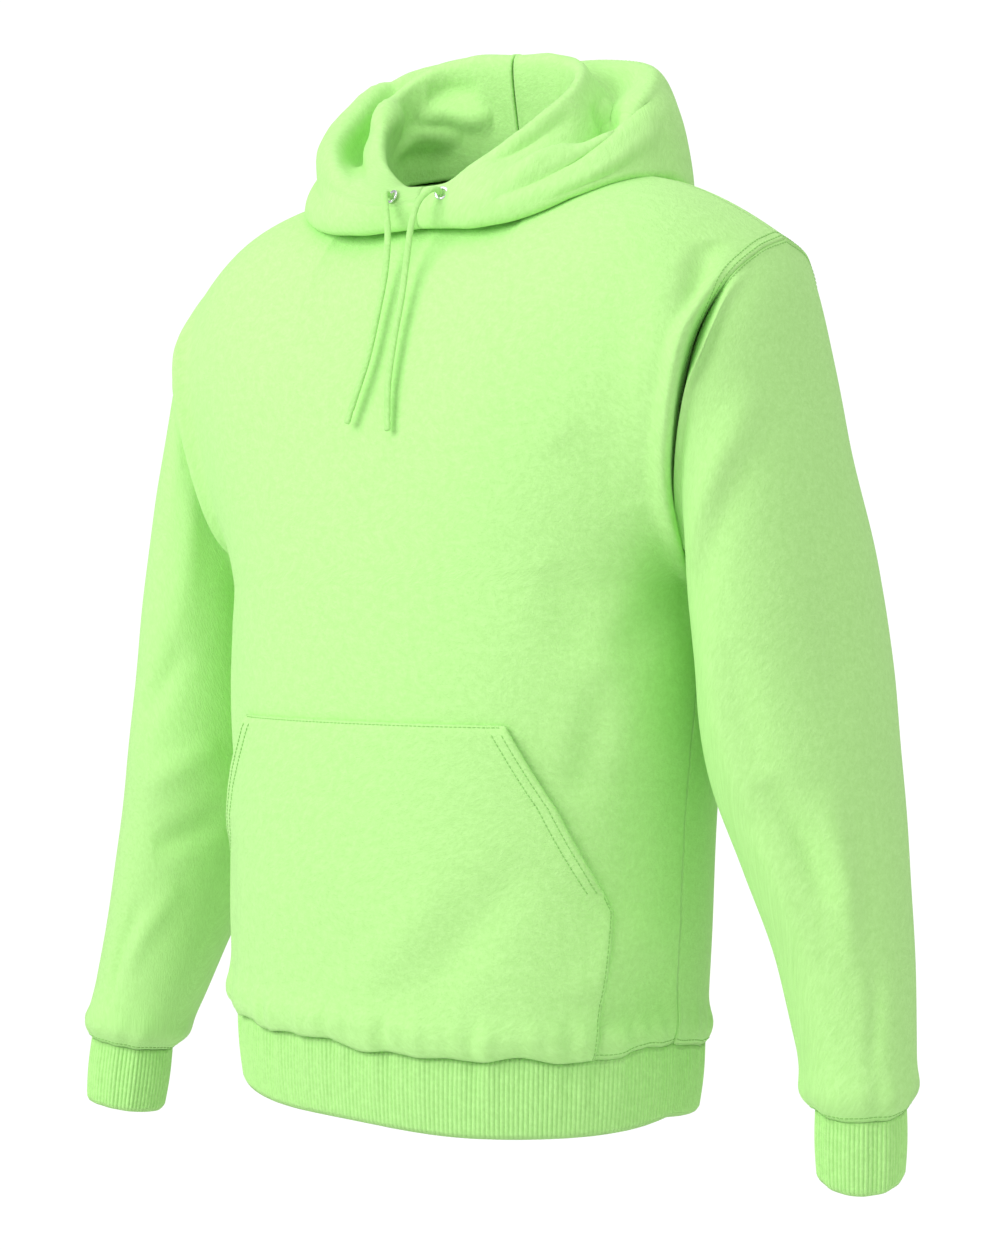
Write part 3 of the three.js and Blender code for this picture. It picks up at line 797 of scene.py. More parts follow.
class Finishes:
    """The garment's materials, each made once."""

    def __init__(self) -> None:
        """Makes the materials."""
        # Each finish's first colour is its painted-highlight end and its second its painted-shade
        # end, mixed over the nap's noise with a random mottle.
        jersey = ClothFinish("fleece_jersey", (0.530, 0.925, 0.325), (0.470, 0.855, 0.278))
        rib_base, rib_shade = (0.520, 0.930, 0.315), (0.450, 0.840, 0.265)
        rib = ClothFinish("rib_knit", rib_base, rib_shade, knit=0.5, nap=0.3)
        cord_base, cord_shade = (0.480, 0.850, 0.290), (0.390, 0.750, 0.225)
        cord = ClothFinish("braided_cord", cord_base, cord_shade, knit=0.5, nap=0.3)
        # The thread is painted darker than the jersey as painted shade that picks out the stitch
        # rows; the thread itself is the same lime as the cloth.
        thread_painted_shade_light, thread_painted_shade_deep = (0.340, 0.680, 0.200), (0.290, 0.610, 0.165)
        thread = ClothFinish("sewing_thread_painted_shade", thread_painted_shade_light, thread_painted_shade_deep, nap=0.1, sheen=0.1)
        self.cloth = jersey.make()
        self.rib = rib.make()
        self.cord = cord.make()
        self.thread = thread.make()
        self.metal = MetalFinish("plated_metal", (0.78, 0.79, 0.80)).make()


def shell(
    name: str, cloth: Cloth, material: bpy.types.Material, thickness: float
) -> bpy.types.Object:
    """A cloth wall whose visible face is the given surface.

    Args:
        name: Object name.
        cloth: The visible surface in millimetres.
        material: Its finish.
        thickness: Wall in millimetres, to the inside of the surface.

    Returns:
        The new object.
    """
    rows, columns = cloth.points.shape[:2]
    bm = bmesh.new()
    bmesh.ops.create_grid(bm, x_segments=columns - 1, y_segments=rows - 1, size=1.0)
    mesh = bpy.data.meshes.new(name)
    bm.to_mesh(mesh)
    bm.free()
    mesh.vertices.foreach_set("co", (cloth.points * MM).astype(np.float32).ravel())
    corner = np.zeros(len(mesh.loops), np.int32)
    mesh.loops.foreach_get("vertex_index", corner)
    flat = np.stack([cloth.across, cloth.up], axis=-1).reshape(-1, 2) * MM
    layer = mesh.uv_layers.new(name="flat")
    layer.data.foreach_set("uv", flat[corner].astype(np.float32).ravel())
    bm = bmesh.new()
    bm.from_mesh(mesh)
    bmesh.ops.remove_doubles(bm, verts=bm.verts, dist=1e-6)
    bm.to_mesh(mesh)
    bm.free()
    mesh.materials.append(material)
    mesh.shade_smooth()
    made = bpy.data.objects.new(name, mesh)
    bpy.context.collection.objects.link(made)
    wall = made.modifiers.new("wall", "SOLIDIFY")
    wall.thickness = thickness * MM
    wall.offset = -1.0
    wall.use_even_offset = False
    return made


def dressed(piece: bpy.types.Object, slot: str, *nodes: str) -> bpy.types.Object:
    """Fixes a piece to the frame in place of its solids.

    Args:
        piece: The piece.
        slot: Not used.
        nodes: The CAD nodes it stands for.

    Returns:
        The piece.
    """
    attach(piece, "root")
    if nodes:
        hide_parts(*nodes)
    return piece


@dataclass
class Stitching:
    """Rows of short raised stitches, joined in one mesh.

    Attributes:
        length: Length of a stitch.
        half_width: Half its width.
        flatness: Its height as a share of its width.
        proud: How far its middle stands off the cloth.
        points: Corners of the stitches so far.
        faces: Faces of the stitches so far.
        count: How many corners there are so far.
    """

    ROUND = 4
    RINGS = ((-0.5, 0.45), (-0.2, 1.0), (0.2, 1.0), (0.5, 0.45))

    length: float = 2.8
    half_width: float = 0.5
    flatness: float = 0.8
    proud: float = 0.12
    points: list[Array] = field(default_factory=list)
    faces: list[Array] = field(default_factory=list)
    count: int = 0

    def row(self, path: Array, normals: Array, pitch: float = 3.4) -> None:
        """Adds a row of stitches along a path.

        Args:
            path: Points of the path in millimetres.
            normals: Outward directions along it.
            pitch: Distance from stitch to stitch.
        """
        steps = np.linalg.norm(np.diff(path, axis=0), axis=1)
        arc = np.concatenate([[0], np.cumsum(steps)])
        number = int(arc[-1] / pitch)
        middle = (np.arange(number) + 0.5) * arc[-1] / max(number, 1)
        centre = np.stack([np.interp(middle, arc, path[:, k]) for k in range(3)], axis=1)
        ahead = np.stack([np.interp(middle + 1, arc, path[:, k]) for k in range(3)], axis=1)
        behind = np.stack([np.interp(middle - 1, arc, path[:, k]) for k in range(3)], axis=1)
        out = np.stack([np.interp(middle, arc, normals[:, k]) for k in range(3)], axis=1)
        along = ahead - behind
        along /= np.maximum(np.linalg.norm(along, axis=1, keepdims=True), 1e-9)
        side = np.cross(along, out)
        side /= np.maximum(np.linalg.norm(side, axis=1, keepdims=True), 1e-9)
        out = np.cross(side, along)
        rings = []
        for place, share in self.RINGS:
            for k in range(self.ROUND):
                angle = 2 * np.pi * (k + 0.5) / self.ROUND
                rise = math.sin(angle) * self.half_width * share * self.flatness
                rings.append(
                    centre
                    + along * place * self.length
                    + side * (math.cos(angle) * self.half_width * share)
                    + out * (rise + self.proud * share)
                )
        points = np.stack(rings, axis=1)
        faces = []
        for ring in range(len(self.RINGS) - 1):
            for k in range(self.ROUND):
                a = ring * self.ROUND + k
                b = ring * self.ROUND + (k + 1) % self.ROUND
                faces.append((a, b, b + self.ROUND, a + self.ROUND))
        last = (len(self.RINGS) - 1) * self.ROUND
        faces.append((3, 2, 1, 0))
        faces.append((last, last + 1, last + 2, last + 3))
        size = self.ROUND * len(self.RINGS)
        starts = self.count + np.arange(number) * size
        self.points.append(points.reshape(-1, 3))
        self.faces.append((starts[:, None, None] + np.array(faces)[None]).reshape(-1, 4))
        self.count += number * size

    def make(self, name: str, material: bpy.types.Material) -> bpy.types.Object:
        """The joined mesh of all rows.

        Args:
            name: Object name.
            material: Thread finish, painted darker than the cloth as painted shade.

        Returns:
            The new object.
        """
        mesh = bpy.data.meshes.new(name)
        points = np.concatenate(self.points) * MM
        mesh.from_pydata(points.tolist(), [], np.concatenate(self.faces).tolist())
        mesh.update()
        bm = bmesh.new()
        bm.from_mesh(mesh)
        bmesh.ops.recalc_face_normals(bm, faces=bm.faces)
        layer = bm.loops.layers.uv.new("flat")
        for face in bm.faces:
            for loop in face.loops:
                loop[layer].uv = (loop.vert.co.x + loop.vert.co.y, loop.vert.co.z)
        bm.to_mesh(mesh)
        bm.free()
        mesh.materials.append(material)
        mesh.shade_smooth()
        made = bpy.data.objects.new(name, mesh)
        bpy.context.collection.objects.link(made)
        return dressed(made, "cloth")


def place_at(arc: Array, distance: float) -> Array:
    """Grid places at a distance along each line of a grid.

    Args:
        arc: Distances along the lines, one line a row.
        distance: The distance wanted.

    Returns:
        Places, between whole grid steps.
    """
    steps = np.arange(arc.shape[1])
    return np.array([np.interp(distance, line, steps) for line in arc])


def on_side(cloth: Cloth, side: Side) -> Cloth:
    """A surface worked out for the left, on its own side.

    Args:
        cloth: The surface as on the left.
        side: The side wanted.

    Returns:
        The surface itself, or its mirror image with its faces still outward.
    """
    if side is Side.LEFT:
        return cloth
    points = cloth.points[:, ::-1].copy()
    points[..., 0] *= -1
    return Cloth(points, is_ring=cloth.is_ring)


@dataclass
class Body:
    """Front and back panels with their side, shoulder and hem seams.

    Attributes:
        finishes: The garment's materials.
        columns_each: Grid columns from the middle to a side seam.
        rows_below: Grid rows below the armpit.
        rows_above: Grid rows above the armpit.
        hem_wave: How far the hem seam wanders up and down.
        blouse: How far the cloth bags over the hem band.
        blouse_height: Height of the bag's middle above the seam.
        gather: Depth of the gathers at the hem seam.
        hem_groove: How far the cloth sinks at the hem seam.
        side_groove: How far it sinks at a side or armhole seam.
        shoulder_groove: How far it sinks at the shoulder seam and the neckline.
        groove_width: How far from a seam the cloth sinks.
        lap: How far it swells beside the crease in front of the armpit.
        lap_middle: Distance of that swelling from the armhole seam.
        lap_width: Half its width.
        hem_stitch: Distance of the stitch row above the hem seam.
        armhole_stitches: Distances of the rows beside the armhole seams.
        columns: Places of the grid's columns across a panel.
        rows: Places of the grid's rows up a panel.
        seam: The front's places across and its distances along the hem seam.
        front: The front's visible surface.
        back: The back's visible surface.
    """

    FRONT_FOLDS = (
        Fold(((222, -58), (229, -90), (230, -126)), 7, -7.0),
        Fold(((204, -70), (212, -120), (206, -180), (196, -236)), 14, 5.0),
        Fold(((150, -196), (173, -218), (190, -244)), 17, -3.4),
        Fold(((140, -286), (151, -318), (156, -352)), 15, -3.0),
        Fold(((199, -268), (192, -310), (174, -356)), 11, -7.0),
        Fold(((182, -300), (168, -360), (150, -430)), 13, 3.6),
        Fold(((164, -366), (161, -410), (158, -452)), 9, -4.0),
        Fold(((178, -366), (175, -398), (172, -434)), 9, 3.6),
        Fold(((184, -420), (180, -490), (176, -540)), 9, -3.0),
        Fold(((178, -526), (171, -564), (158, -592)), 11, 4.0),
        Fold(((188, -560), (179, -598), (166, -614)), 10, -4.4),
        Fold(((60, -598), (72, -583), (111, -522), (128, -490)), 15, -4.0),
        Fold(((-20, -604), (40, -560), (84, -500)), 18, 2.6),
        Fold(((-150, -470), (-140, -540), (-146, -600)), 14, -2.6),
        Fold(((-100, -120), (-150, -180), (-180, -260)), 26, 2.4),
        Fold(((-190, -290), (-164, -370), (-150, -440)), 13, 4.0),
        Fold(((-180, -330), (-170, -400), (-160, -450)), 10, -3.6),
        Fold(((10, -210), (80, -280), (130, -300)), 34, -2.0),
    )
    BACK_FOLDS = (
        Fold(((-190, -300), (-150, -370), (-90, -420)), 20, 3.5),
        Fold(((190, -290), (156, -360), (104, -400)), 18, 3.0),
        Fold(((-170, -360), (-110, -430), (-40, -470)), 22, -3.0),
        Fold(((176, -350), (130, -410), (60, -440)), 20, -2.6),
        Fold(((-60, -180), (-70, -300), (-50, -420)), 30, -2.0),
        Fold(((70, -200), (64, -330), (84, -460)), 26, 2.0),
        Fold(((-120, -560), (-20, -590), (70, -570)), 16, 3.0),
        Fold(((-60, -520), (40, -545), (130, -530)), 14, -2.4),
    )

    finishes: Finishes
    columns_each: int = 110
    rows_below: int = 78
    rows_above: int = 92
    hem_wave: float = 3.4
    blouse: float = 2.9
    blouse_height: float = 15.0
    gather: float = 1.3
    hem_groove: float = 2.3
    side_groove: float = 0.2
    shoulder_groove: float = 0.8
    groove_width: float = 2.2
    lap: float = 9.0
    lap_middle: float = 13.0
    lap_width: float = 8.0
    hem_stitch: float = 4.2
    armhole_stitches: tuple[float, ...] = (3.6, 8.8)
    columns: Array = field(init=False)
    rows: Array = field(init=False)
    seam: tuple[Array, Array] = field(init=False)
    front: Cloth = field(init=False)
    back: Cloth = field(init=False)

    def __post_init__(self) -> None:
        """Works out the two panels' surfaces."""
        half = np.linspace(0, 1, self.columns_each)
        self.columns = np.concatenate([-half[:0:-1], half])
        below = np.linspace(0, 1, self.rows_below)[:-1]
        self.rows = np.concatenate([below, np.linspace(1, 2, self.rows_above)])
        self.front = self.panel(Panel.FRONT)
        self.back = self.panel(Panel.BACK)

    def panel(self, panel: Panel) -> Cloth:
        """A panel with its folds, seams and hem puckers, sunk at the armhole's front.

        Args:
            panel: Which panel.

        Returns:
            The visible surface.
        """
        plain = body_cloth(panel, self.columns, self.rows)
        across, up = plain.across, plain.up
        side = np.minimum(across, across[:, -1:] - across)
        top = up[-1:] - up
        height = folds_lift(
            self.FRONT_FOLDS if panel is Panel.FRONT else self.BACK_FOLDS,
            plain.points[..., 0],
            plain.points[..., 2],
        )
        fade = smooth(side / 22) * smooth(up / 26) * smooth(top / 26)
        height = height * fade
        around = across + (0 if panel is Panel.FRONT else 900)
        if panel is Panel.FRONT:
            self.seam = (plain.points[0, :, 0], across[0])
        out, rise = self.gathers(around, up)
        height += out
        height -= self.side_groove * bell(side, self.groove_width)
        height -= self.shoulder_groove * bell(top, self.groove_width)
        if panel is Panel.FRONT:
            lap = self.lap * bell(side - self.lap_middle, self.lap_width)
            height += lap * CREASE.share(plain.points)
        height += 0.3 * uneven(side * 0 + up, 1.2, 29, 53) * bell(side, 7)
        slanted = plain.points[..., 0] + 0.4 * plain.points[..., 2]
        height += 0.6 * uneven(slanted, 0.4, 131, 219) * fade
        cloth = plain.raised(height)
        cloth.points[..., 2] += rise
        if panel is Panel.FRONT:
            cloth.points += CREASE.sink(plain.points, side)
        return cloth

    def gathers(self, around: Array, up: Array) -> tuple[Array, Array]:
        """The cloth's blousing and gathers over the hem band.

        Args:
            around: Distance along the hem seam.
            up: Distance above it.

        Returns:
            How far the cloth lies out, and how far its edge rises.
        """
        gather = uneven(around, 0.7, 31, 47, 83) + 0.6 * uneven(around, 2.1, 17, 23)
        out = self.gather * gather * np.exp(-up / 15)
        out += self.blouse * bell(up - self.blouse_height, 12) * (1 + 0.6 * gather)
        out -= self.hem_groove * bell(up, 3.2)
        return out, self.hem_wave * uneven(around, 0.9, 49, 83, 151) * np.exp(-up / 20)

    def build(self) -> list[bpy.types.Object]:
        """The two panels as pieces.

        Returns:
            The pieces.
        """
        front = shell("front_panel", self.front, self.finishes.cloth, WALL)
        dressed(front, "cloth", "front")
        back = shell("back_panel", self.back, self.finishes.cloth, WALL)
        dressed(back, "cloth", "back")
        return [front, back]

    def stitch(self, stitching: Stitching) -> None:
        """Seam rows on the panels.

        Args:
            stitching: Collects the rows.
        """
        for cloth in (self.front, self.back):
            up, across = cloth.up, cloth.across
            columns = np.arange(cloth.points.shape[1])
            rows = place_at(up.T, self.hem_stitch)
            stitching.row(*cloth.line(rows, columns.astype(float)))
            armpit = self.rows_below - 2
            rows = np.arange(armpit, cloth.points.shape[0]).astype(float)
            for distance in self.armhole_stitches:
                near = place_at(across[armpit:], distance)
                stitching.row(*cloth.line(rows, near))
                far = place_at((across[armpit:, -1:] - across[armpit:])[:, ::-1], distance)
                stitching.row(*cloth.line(rows, columns[-1] - far))


@dataclass
class Sleeve:
    """One sleeve with its elbow and armpit folds.

    Attributes:
        side: The wearer's side.
        finishes: The garment's materials.
        girth: Distance round the sleeve that the folds are placed on.
        columns: Grid columns round the sleeve.
        rows: Grid rows near the armhole, between and near the cuff.
        fine_share: Share of the sleeve's length that the finer rows at each end take.
        lap: How far the cloth swells beside the crease in front of the armpit.
        lap_middle: Distance of that swelling from the armhole seam.
        lap_width: Half its width.
        blouse: How far the cloth bags over the cuff.
        blouse_height: Height of the bag's middle above the cuff seam.
        gather: Depth of the gathers at the cuff seam.
        cuff_groove: How far the cloth sinks at the cuff seam.
        armhole_groove: How far it sinks at the armhole seam.
        armhole_stitch: Distance of the stitch row from the armhole seam.
        cuff_stitch: Distance of the stitch row from the cuff seam.
        turns: Places round the sleeve, a row of them at each place along it.
        left: The surface as on the left side.
        cloth: The visible surface.
    """

    BACK_FOLDS = (
        Fold(((260, -380), (300, -440), (340, -460)), 16, 3.4),
        Fold(((250, -430), (290, -480), (330, -500)), 12, -3.4),
        Fold(((300, -240), (320, -320), (310, -400)), 22, 2.4),
        Fold(((330, -500), (290, -550), (250, -570)), 12, 2.6),
    )
    FOLDS = {
        Side.LEFT: (
            Fold(((116, -290), (82, -226), (40, -160)), 14, 5.0),
            Fold(((124, -320), (92, -266), (52, -206)), 13, -4.0),
            Fold(((112, -330), (110, -400), (98, -458)), 12, 3.4),
            Fold(((88, -340), (84, -400), (80, -430)), 12, -2.6),
            Fold(((84, -436), (70, -471), (62, -520)), 12, -6.0),
            Fold(((42, -440), (46, -506), (58, -566)), 12, 5.0),
            Fold(((104, -470), (98, -520), (90, -560)), 11, 3.0),
            Fold(((30, -560), (40, -600), (50, -630)), 9, -2.6),
            Fold(((20, -250), (16, -330), (24, -400)), 16, -2.2),
        ),
        Side.RIGHT: (
            Fold(((174, -466), (153, -486), (118, -500)), 11, -5.0),
            Fold(((128, -345), (108, -376), (88, -404)), 12, -4.0),
            Fold(((156, -420), (132, -436), (100, -452)), 12, 3.6),
            Fold(((140, -210), (126, -280), (120, -340)), 14, 3.0),
            Fold(((150, -530), (128, -560), (110, -600)), 11, 3.6),
            Fold(((116, -540), (100, -580), (96, -620)), 9, -3.4),
        ),
    }

    side: Side
    finishes: Finishes
    girth: float = 400.0
    columns: int = 145
    rows: tuple[int, int, int] = (24, 96, 24)
    fine_share: float = 0.1
    lap: float = 5.0
    lap_middle: float = 13.0
    lap_width: float = 9.0
    blouse: float = 3.0
    blouse_height: float = 14.0
    gather: float = 0.8
    cuff_groove: float = 1.6
    armhole_groove: float = 0.9
    armhole_stitch: float = 3.6
    cuff_stitch: float = 4.0
    turns: Array = field(init=False)
    left: Cloth = field(init=False)
    cloth: Cloth = field(init=False)

    def __post_init__(self) -> None:
        """Works out the sleeve's surface."""
        low, high = self.fine_share, 1 - self.fine_share
        first = np.linspace(0, low, self.rows[0])[:-1]
        middle = np.linspace(low, high, self.rows[1])[:-1]
        places = np.concatenate([first, middle, np.linspace(high, 1, self.rows[2])])
        turn, place = np.meshgrid(np.linspace(0, 1, self.columns), places)
        plain = Cloth(sleeve_point(turn, place), is_ring=True)
        girth = self.girth
        a = turn * girth
        z = plain.points[..., 2]
        folds = self.FOLDS[self.side] + self.BACK_FOLDS
        length = plain.up
        end = length[-1:] - length
        fade = smooth(length / 30) * smooth(end / 24)
        height = (folds_lift(folds, a, z) + folds_lift(folds, a - girth, z)) * fade
        is_front = smooth(np.sin(2 * np.pi * turn) / 0.4)
        lap = self.lap * bell(length - self.lap_middle, self.lap_width)
        height += lap * is_front * CREASE.share(plain.points)
        gather = uneven(a, 1.3, girth / 13, girth / 9, girth / 6)
        height += self.blouse * bell(end - self.blouse_height, 11) * (1 + 0.4 * gather)
        height -= self.cuff_groove * bell(end, 2.6)
        height += self.gather * gather * np.exp(-end / 13)
        height -= self.armhole_groove * bell(length, 2.2)
        height += 0.5 * uneven(z + 40 * np.sin(2 * np.pi * turn), 0.9, 97, 171) * fade
        cloth = plain.raised(height)
        cloth.points[..., 2] += self.seam_dip(turn) * bell(end, 40)
        cloth.points += CREASE.sink(plain.points, length) * is_front[..., None]
        self.left = cloth
        self.turns = turn
        self.cloth = on_side(cloth, self.side)

    def seam_dip(self, turn: Array) -> Array:
        """How far the cuff seam lies off its level.

        Args:
            turn: Once round from the outer point by the front.

        Returns:
            Heights, negative down.
        """
        angle = 2 * np.pi * turn
        if self.side is Side.RIGHT:
            return 4 + 4 * np.cos(angle)
        return -3 - 8 * smooth(np.cos(angle - 0.3 * np.pi))

    def build(self) -> bpy.types.Object:
        """The sleeve as a piece.

        Returns:
            The piece.
        """
        word = self.side.word
        piece = shell(f"sleeve_cloth_{word}", self.cloth, self.finishes.cloth, WALL)
        dressed(piece, "cloth", f"sleeve_{word}")
        return piece

    def stitch(self, stitching: Stitching) -> None:
        """Seam rows at the armhole and at the cuff.

        Args:
            stitching: Collects the rows.
        """
        up = self.cloth.up
        columns = np.arange(self.cloth.points.shape[1]).astype(float)
        rows = place_at(up.T, self.armhole_stitch)
        stitching.row(*self.cloth.line(rows, columns))
        last = self.cloth.points.shape[0] - 1
        rows = last - place_at((up[-1:] - up)[::-1].T, self.cuff_stitch)
        stitching.row(*self.cloth.line(rows, columns))


def even_ring(points: Array, count: int) -> Array:
    """A ring resampled evenly along its length.

    Args:
        points: Corners of the ring, the last repeating the first.
        count: Number of steps round.

    Returns:
        The points, the last repeating the first.
    """
    arc = np.concatenate([[0], np.cumsum(np.linalg.norm(np.diff(points, axis=0), axis=1))])
    at = np.linspace(0, arc[-1], count + 1)
    return np.stack([np.interp(at, arc, points[:, k]) for k in range(3)], axis=1)


@dataclass
class Bands:
    """The rib-knit hem band and cuffs.

    Attributes:
        finishes: The garment's materials.
        hem_height: Height of the hem band.
        hem_scale: Its free edge's size as a share of its seam's.
        hem_ribs: Number of its ribs.
        hem_rib_points: Grid columns to one of its ribs.
        hem_bulge: How far its middle swells.
        hem_round: Length of its seam.
        hem_lift: How far its free edge lifts behind each side seam.
        lift_middle: Place of that lift on the left.
        lift_width: How far round it reaches.
        cuff_height: Height of a cuff.
        cuff_scale: Its free edge's size as a share of its seam's.
        cuff_shift: How far its free edge lies off its seam, as on the left.
        cuff_ribs: Number of its ribs.
        cuff_rib_points: Grid columns to one of its ribs.
        cuff_bulge: How far its middle swells.
        rib_depth: Depth of a rib.
        levels: Grid rows from seam to free edge.
        edge_turn: How far the free edge turns in.
    """

    finishes: Finishes
    hem_height: float = 55.0
    hem_scale: float = 0.97
    hem_ribs: int = 300
    hem_rib_points: int = 6
    hem_bulge: float = 1.2
    hem_round: float = 1030.0
    hem_lift: float = 8.0
    lift_middle: tuple[float, float] = (160.0, 55.0)
    lift_width: float = 62.0
    cuff_height: float = 53.0
    cuff_scale: float = 0.96
    cuff_shift: tuple[float, float] = (3.0, -5.0)
    cuff_ribs: int = 62
    cuff_rib_points: int = 8
    cuff_bulge: float = 1.0
    rib_depth: float = 1.1
    levels: int = 18
    edge_turn: float = 1.5

    def ribbed(self, top: Array, bottom: Array, ribs: int, bulge: float) -> Cloth:
        """A ribbed band between two closed rings.

        Args:
            top: Ring of points at the seam, the last repeating the first.
            bottom: Ring of points at the free edge.
            ribs: Number of ribs.
            bulge: How far the middle of the band swells.

        Returns:
            The visible surface.
        """
        fall = np.linspace(0, 1, self.levels)[:, None]
        points = top[None] * (1 - fall[..., None]) + bottom[None] * fall[..., None]
        columns = points.shape[1]
        phase = np.arange(columns)[None] * ribs / (columns - 1)
        rib = -((1 - np.abs(np.cos(np.pi * phase))) ** 1.3)
        ends = smooth(fall / 0.06) * smooth((1 - fall) / 0.04)
        height = self.rib_depth * rib * (0.35 + 0.65 * ends) + bulge * np.sin(np.pi * fall)
        height -= self.edge_turn * bell(1 - fall, 0.025)
        return Cloth(points, is_ring=True).raised(height)

    def hem(self, body: Body) -> bpy.types.Object:
        """The hem band as a piece.

        Args:
            body: The panels it is sewn to.

        Returns:
            The piece.
        """
        front, back = body.front.points[0], body.back.points[0]
        ring = np.concatenate([front, back[1:-1], front[:1]])
        ring[:, 2] -= SEAM_GAP
        front, back = (body_cloth(panel, body.columns, np.zeros(1)).points[0] for panel in Panel)
        lower = np.concatenate([front, back[1:-1], front[:1]])
        centre = (lower[:, 1].min() + lower[:, 1].max()) / 2
        lower[:, 0] *= self.hem_scale
        lower[:, 1] = centre + (lower[:, 1] - centre) * self.hem_scale
        x, y = self.lift_middle
        away = np.hypot(np.abs(lower[:, 0]) - x, lower[:, 1] - y)
        lower[:, 2] += self.hem_lift * bell(away, self.lift_width) - self.hem_height
        top = even_ring(ring, self.hem_ribs * self.hem_rib_points)
        bottom = even_ring(lower, self.hem_ribs * self.hem_rib_points)
        arc = np.linspace(0, self.hem_round, len(top))
        bottom[:, 2] += uneven(arc, 1.9, *(self.hem_round / k for k in (7, 5, 3)))
        cloth = self.ribbed(top[::-1], bottom[::-1], self.hem_ribs, self.hem_bulge)
        cloth = Cloth(cloth.points[::-1, ::-1], is_ring=True)
        piece = dressed(shell("hem_rib", cloth, self.finishes.rib, WALL), "rib", "hem_band")
        return piece

    def cuff(self, sleeve: Sleeve) -> bpy.types.Object:
        """A cuff as a piece.

        Args:
            sleeve: The sleeve it is sewn to.

        Returns:
            The piece.
        """
        side = sleeve.side
        ring = sleeve.left.points[-1].copy()
        ring[:, 2] -= SEAM_GAP
        turn = sleeve.turns[-1]
        plain = sleeve_point(turn, np.ones_like(turn))
        centre = (plain.min(axis=0) + plain.max(axis=0)) / 2
        angle = 2 * np.pi * turn
        lower = ring.copy()
        for k in range(2):
            lower[:, k] = centre[k] + (ring[:, k] - centre[k]) * self.cuff_scale
            lower[:, k] += self.cuff_shift[k]
        lower[:, 2] = plain[:, 2] - self.cuff_height
        if side is Side.LEFT:
            lower[:, 2] += 4 - 12 * np.cos(angle - 0.3 * np.pi)
        else:
            lower[:, 2] += 9 + 4 * np.cos(angle)
        top = even_ring(ring, self.cuff_ribs * self.cuff_rib_points)
        bottom = even_ring(lower, self.cuff_ribs * self.cuff_rib_points)
        cloth = on_side(self.ribbed(top, bottom, self.cuff_ribs, self.cuff_bulge), side)
        piece = shell(f"cuff_rib_{side.word}", cloth, self.finishes.rib, WALL)
        dressed(piece, "rib", f"cuff_{side.word}")
        return piece


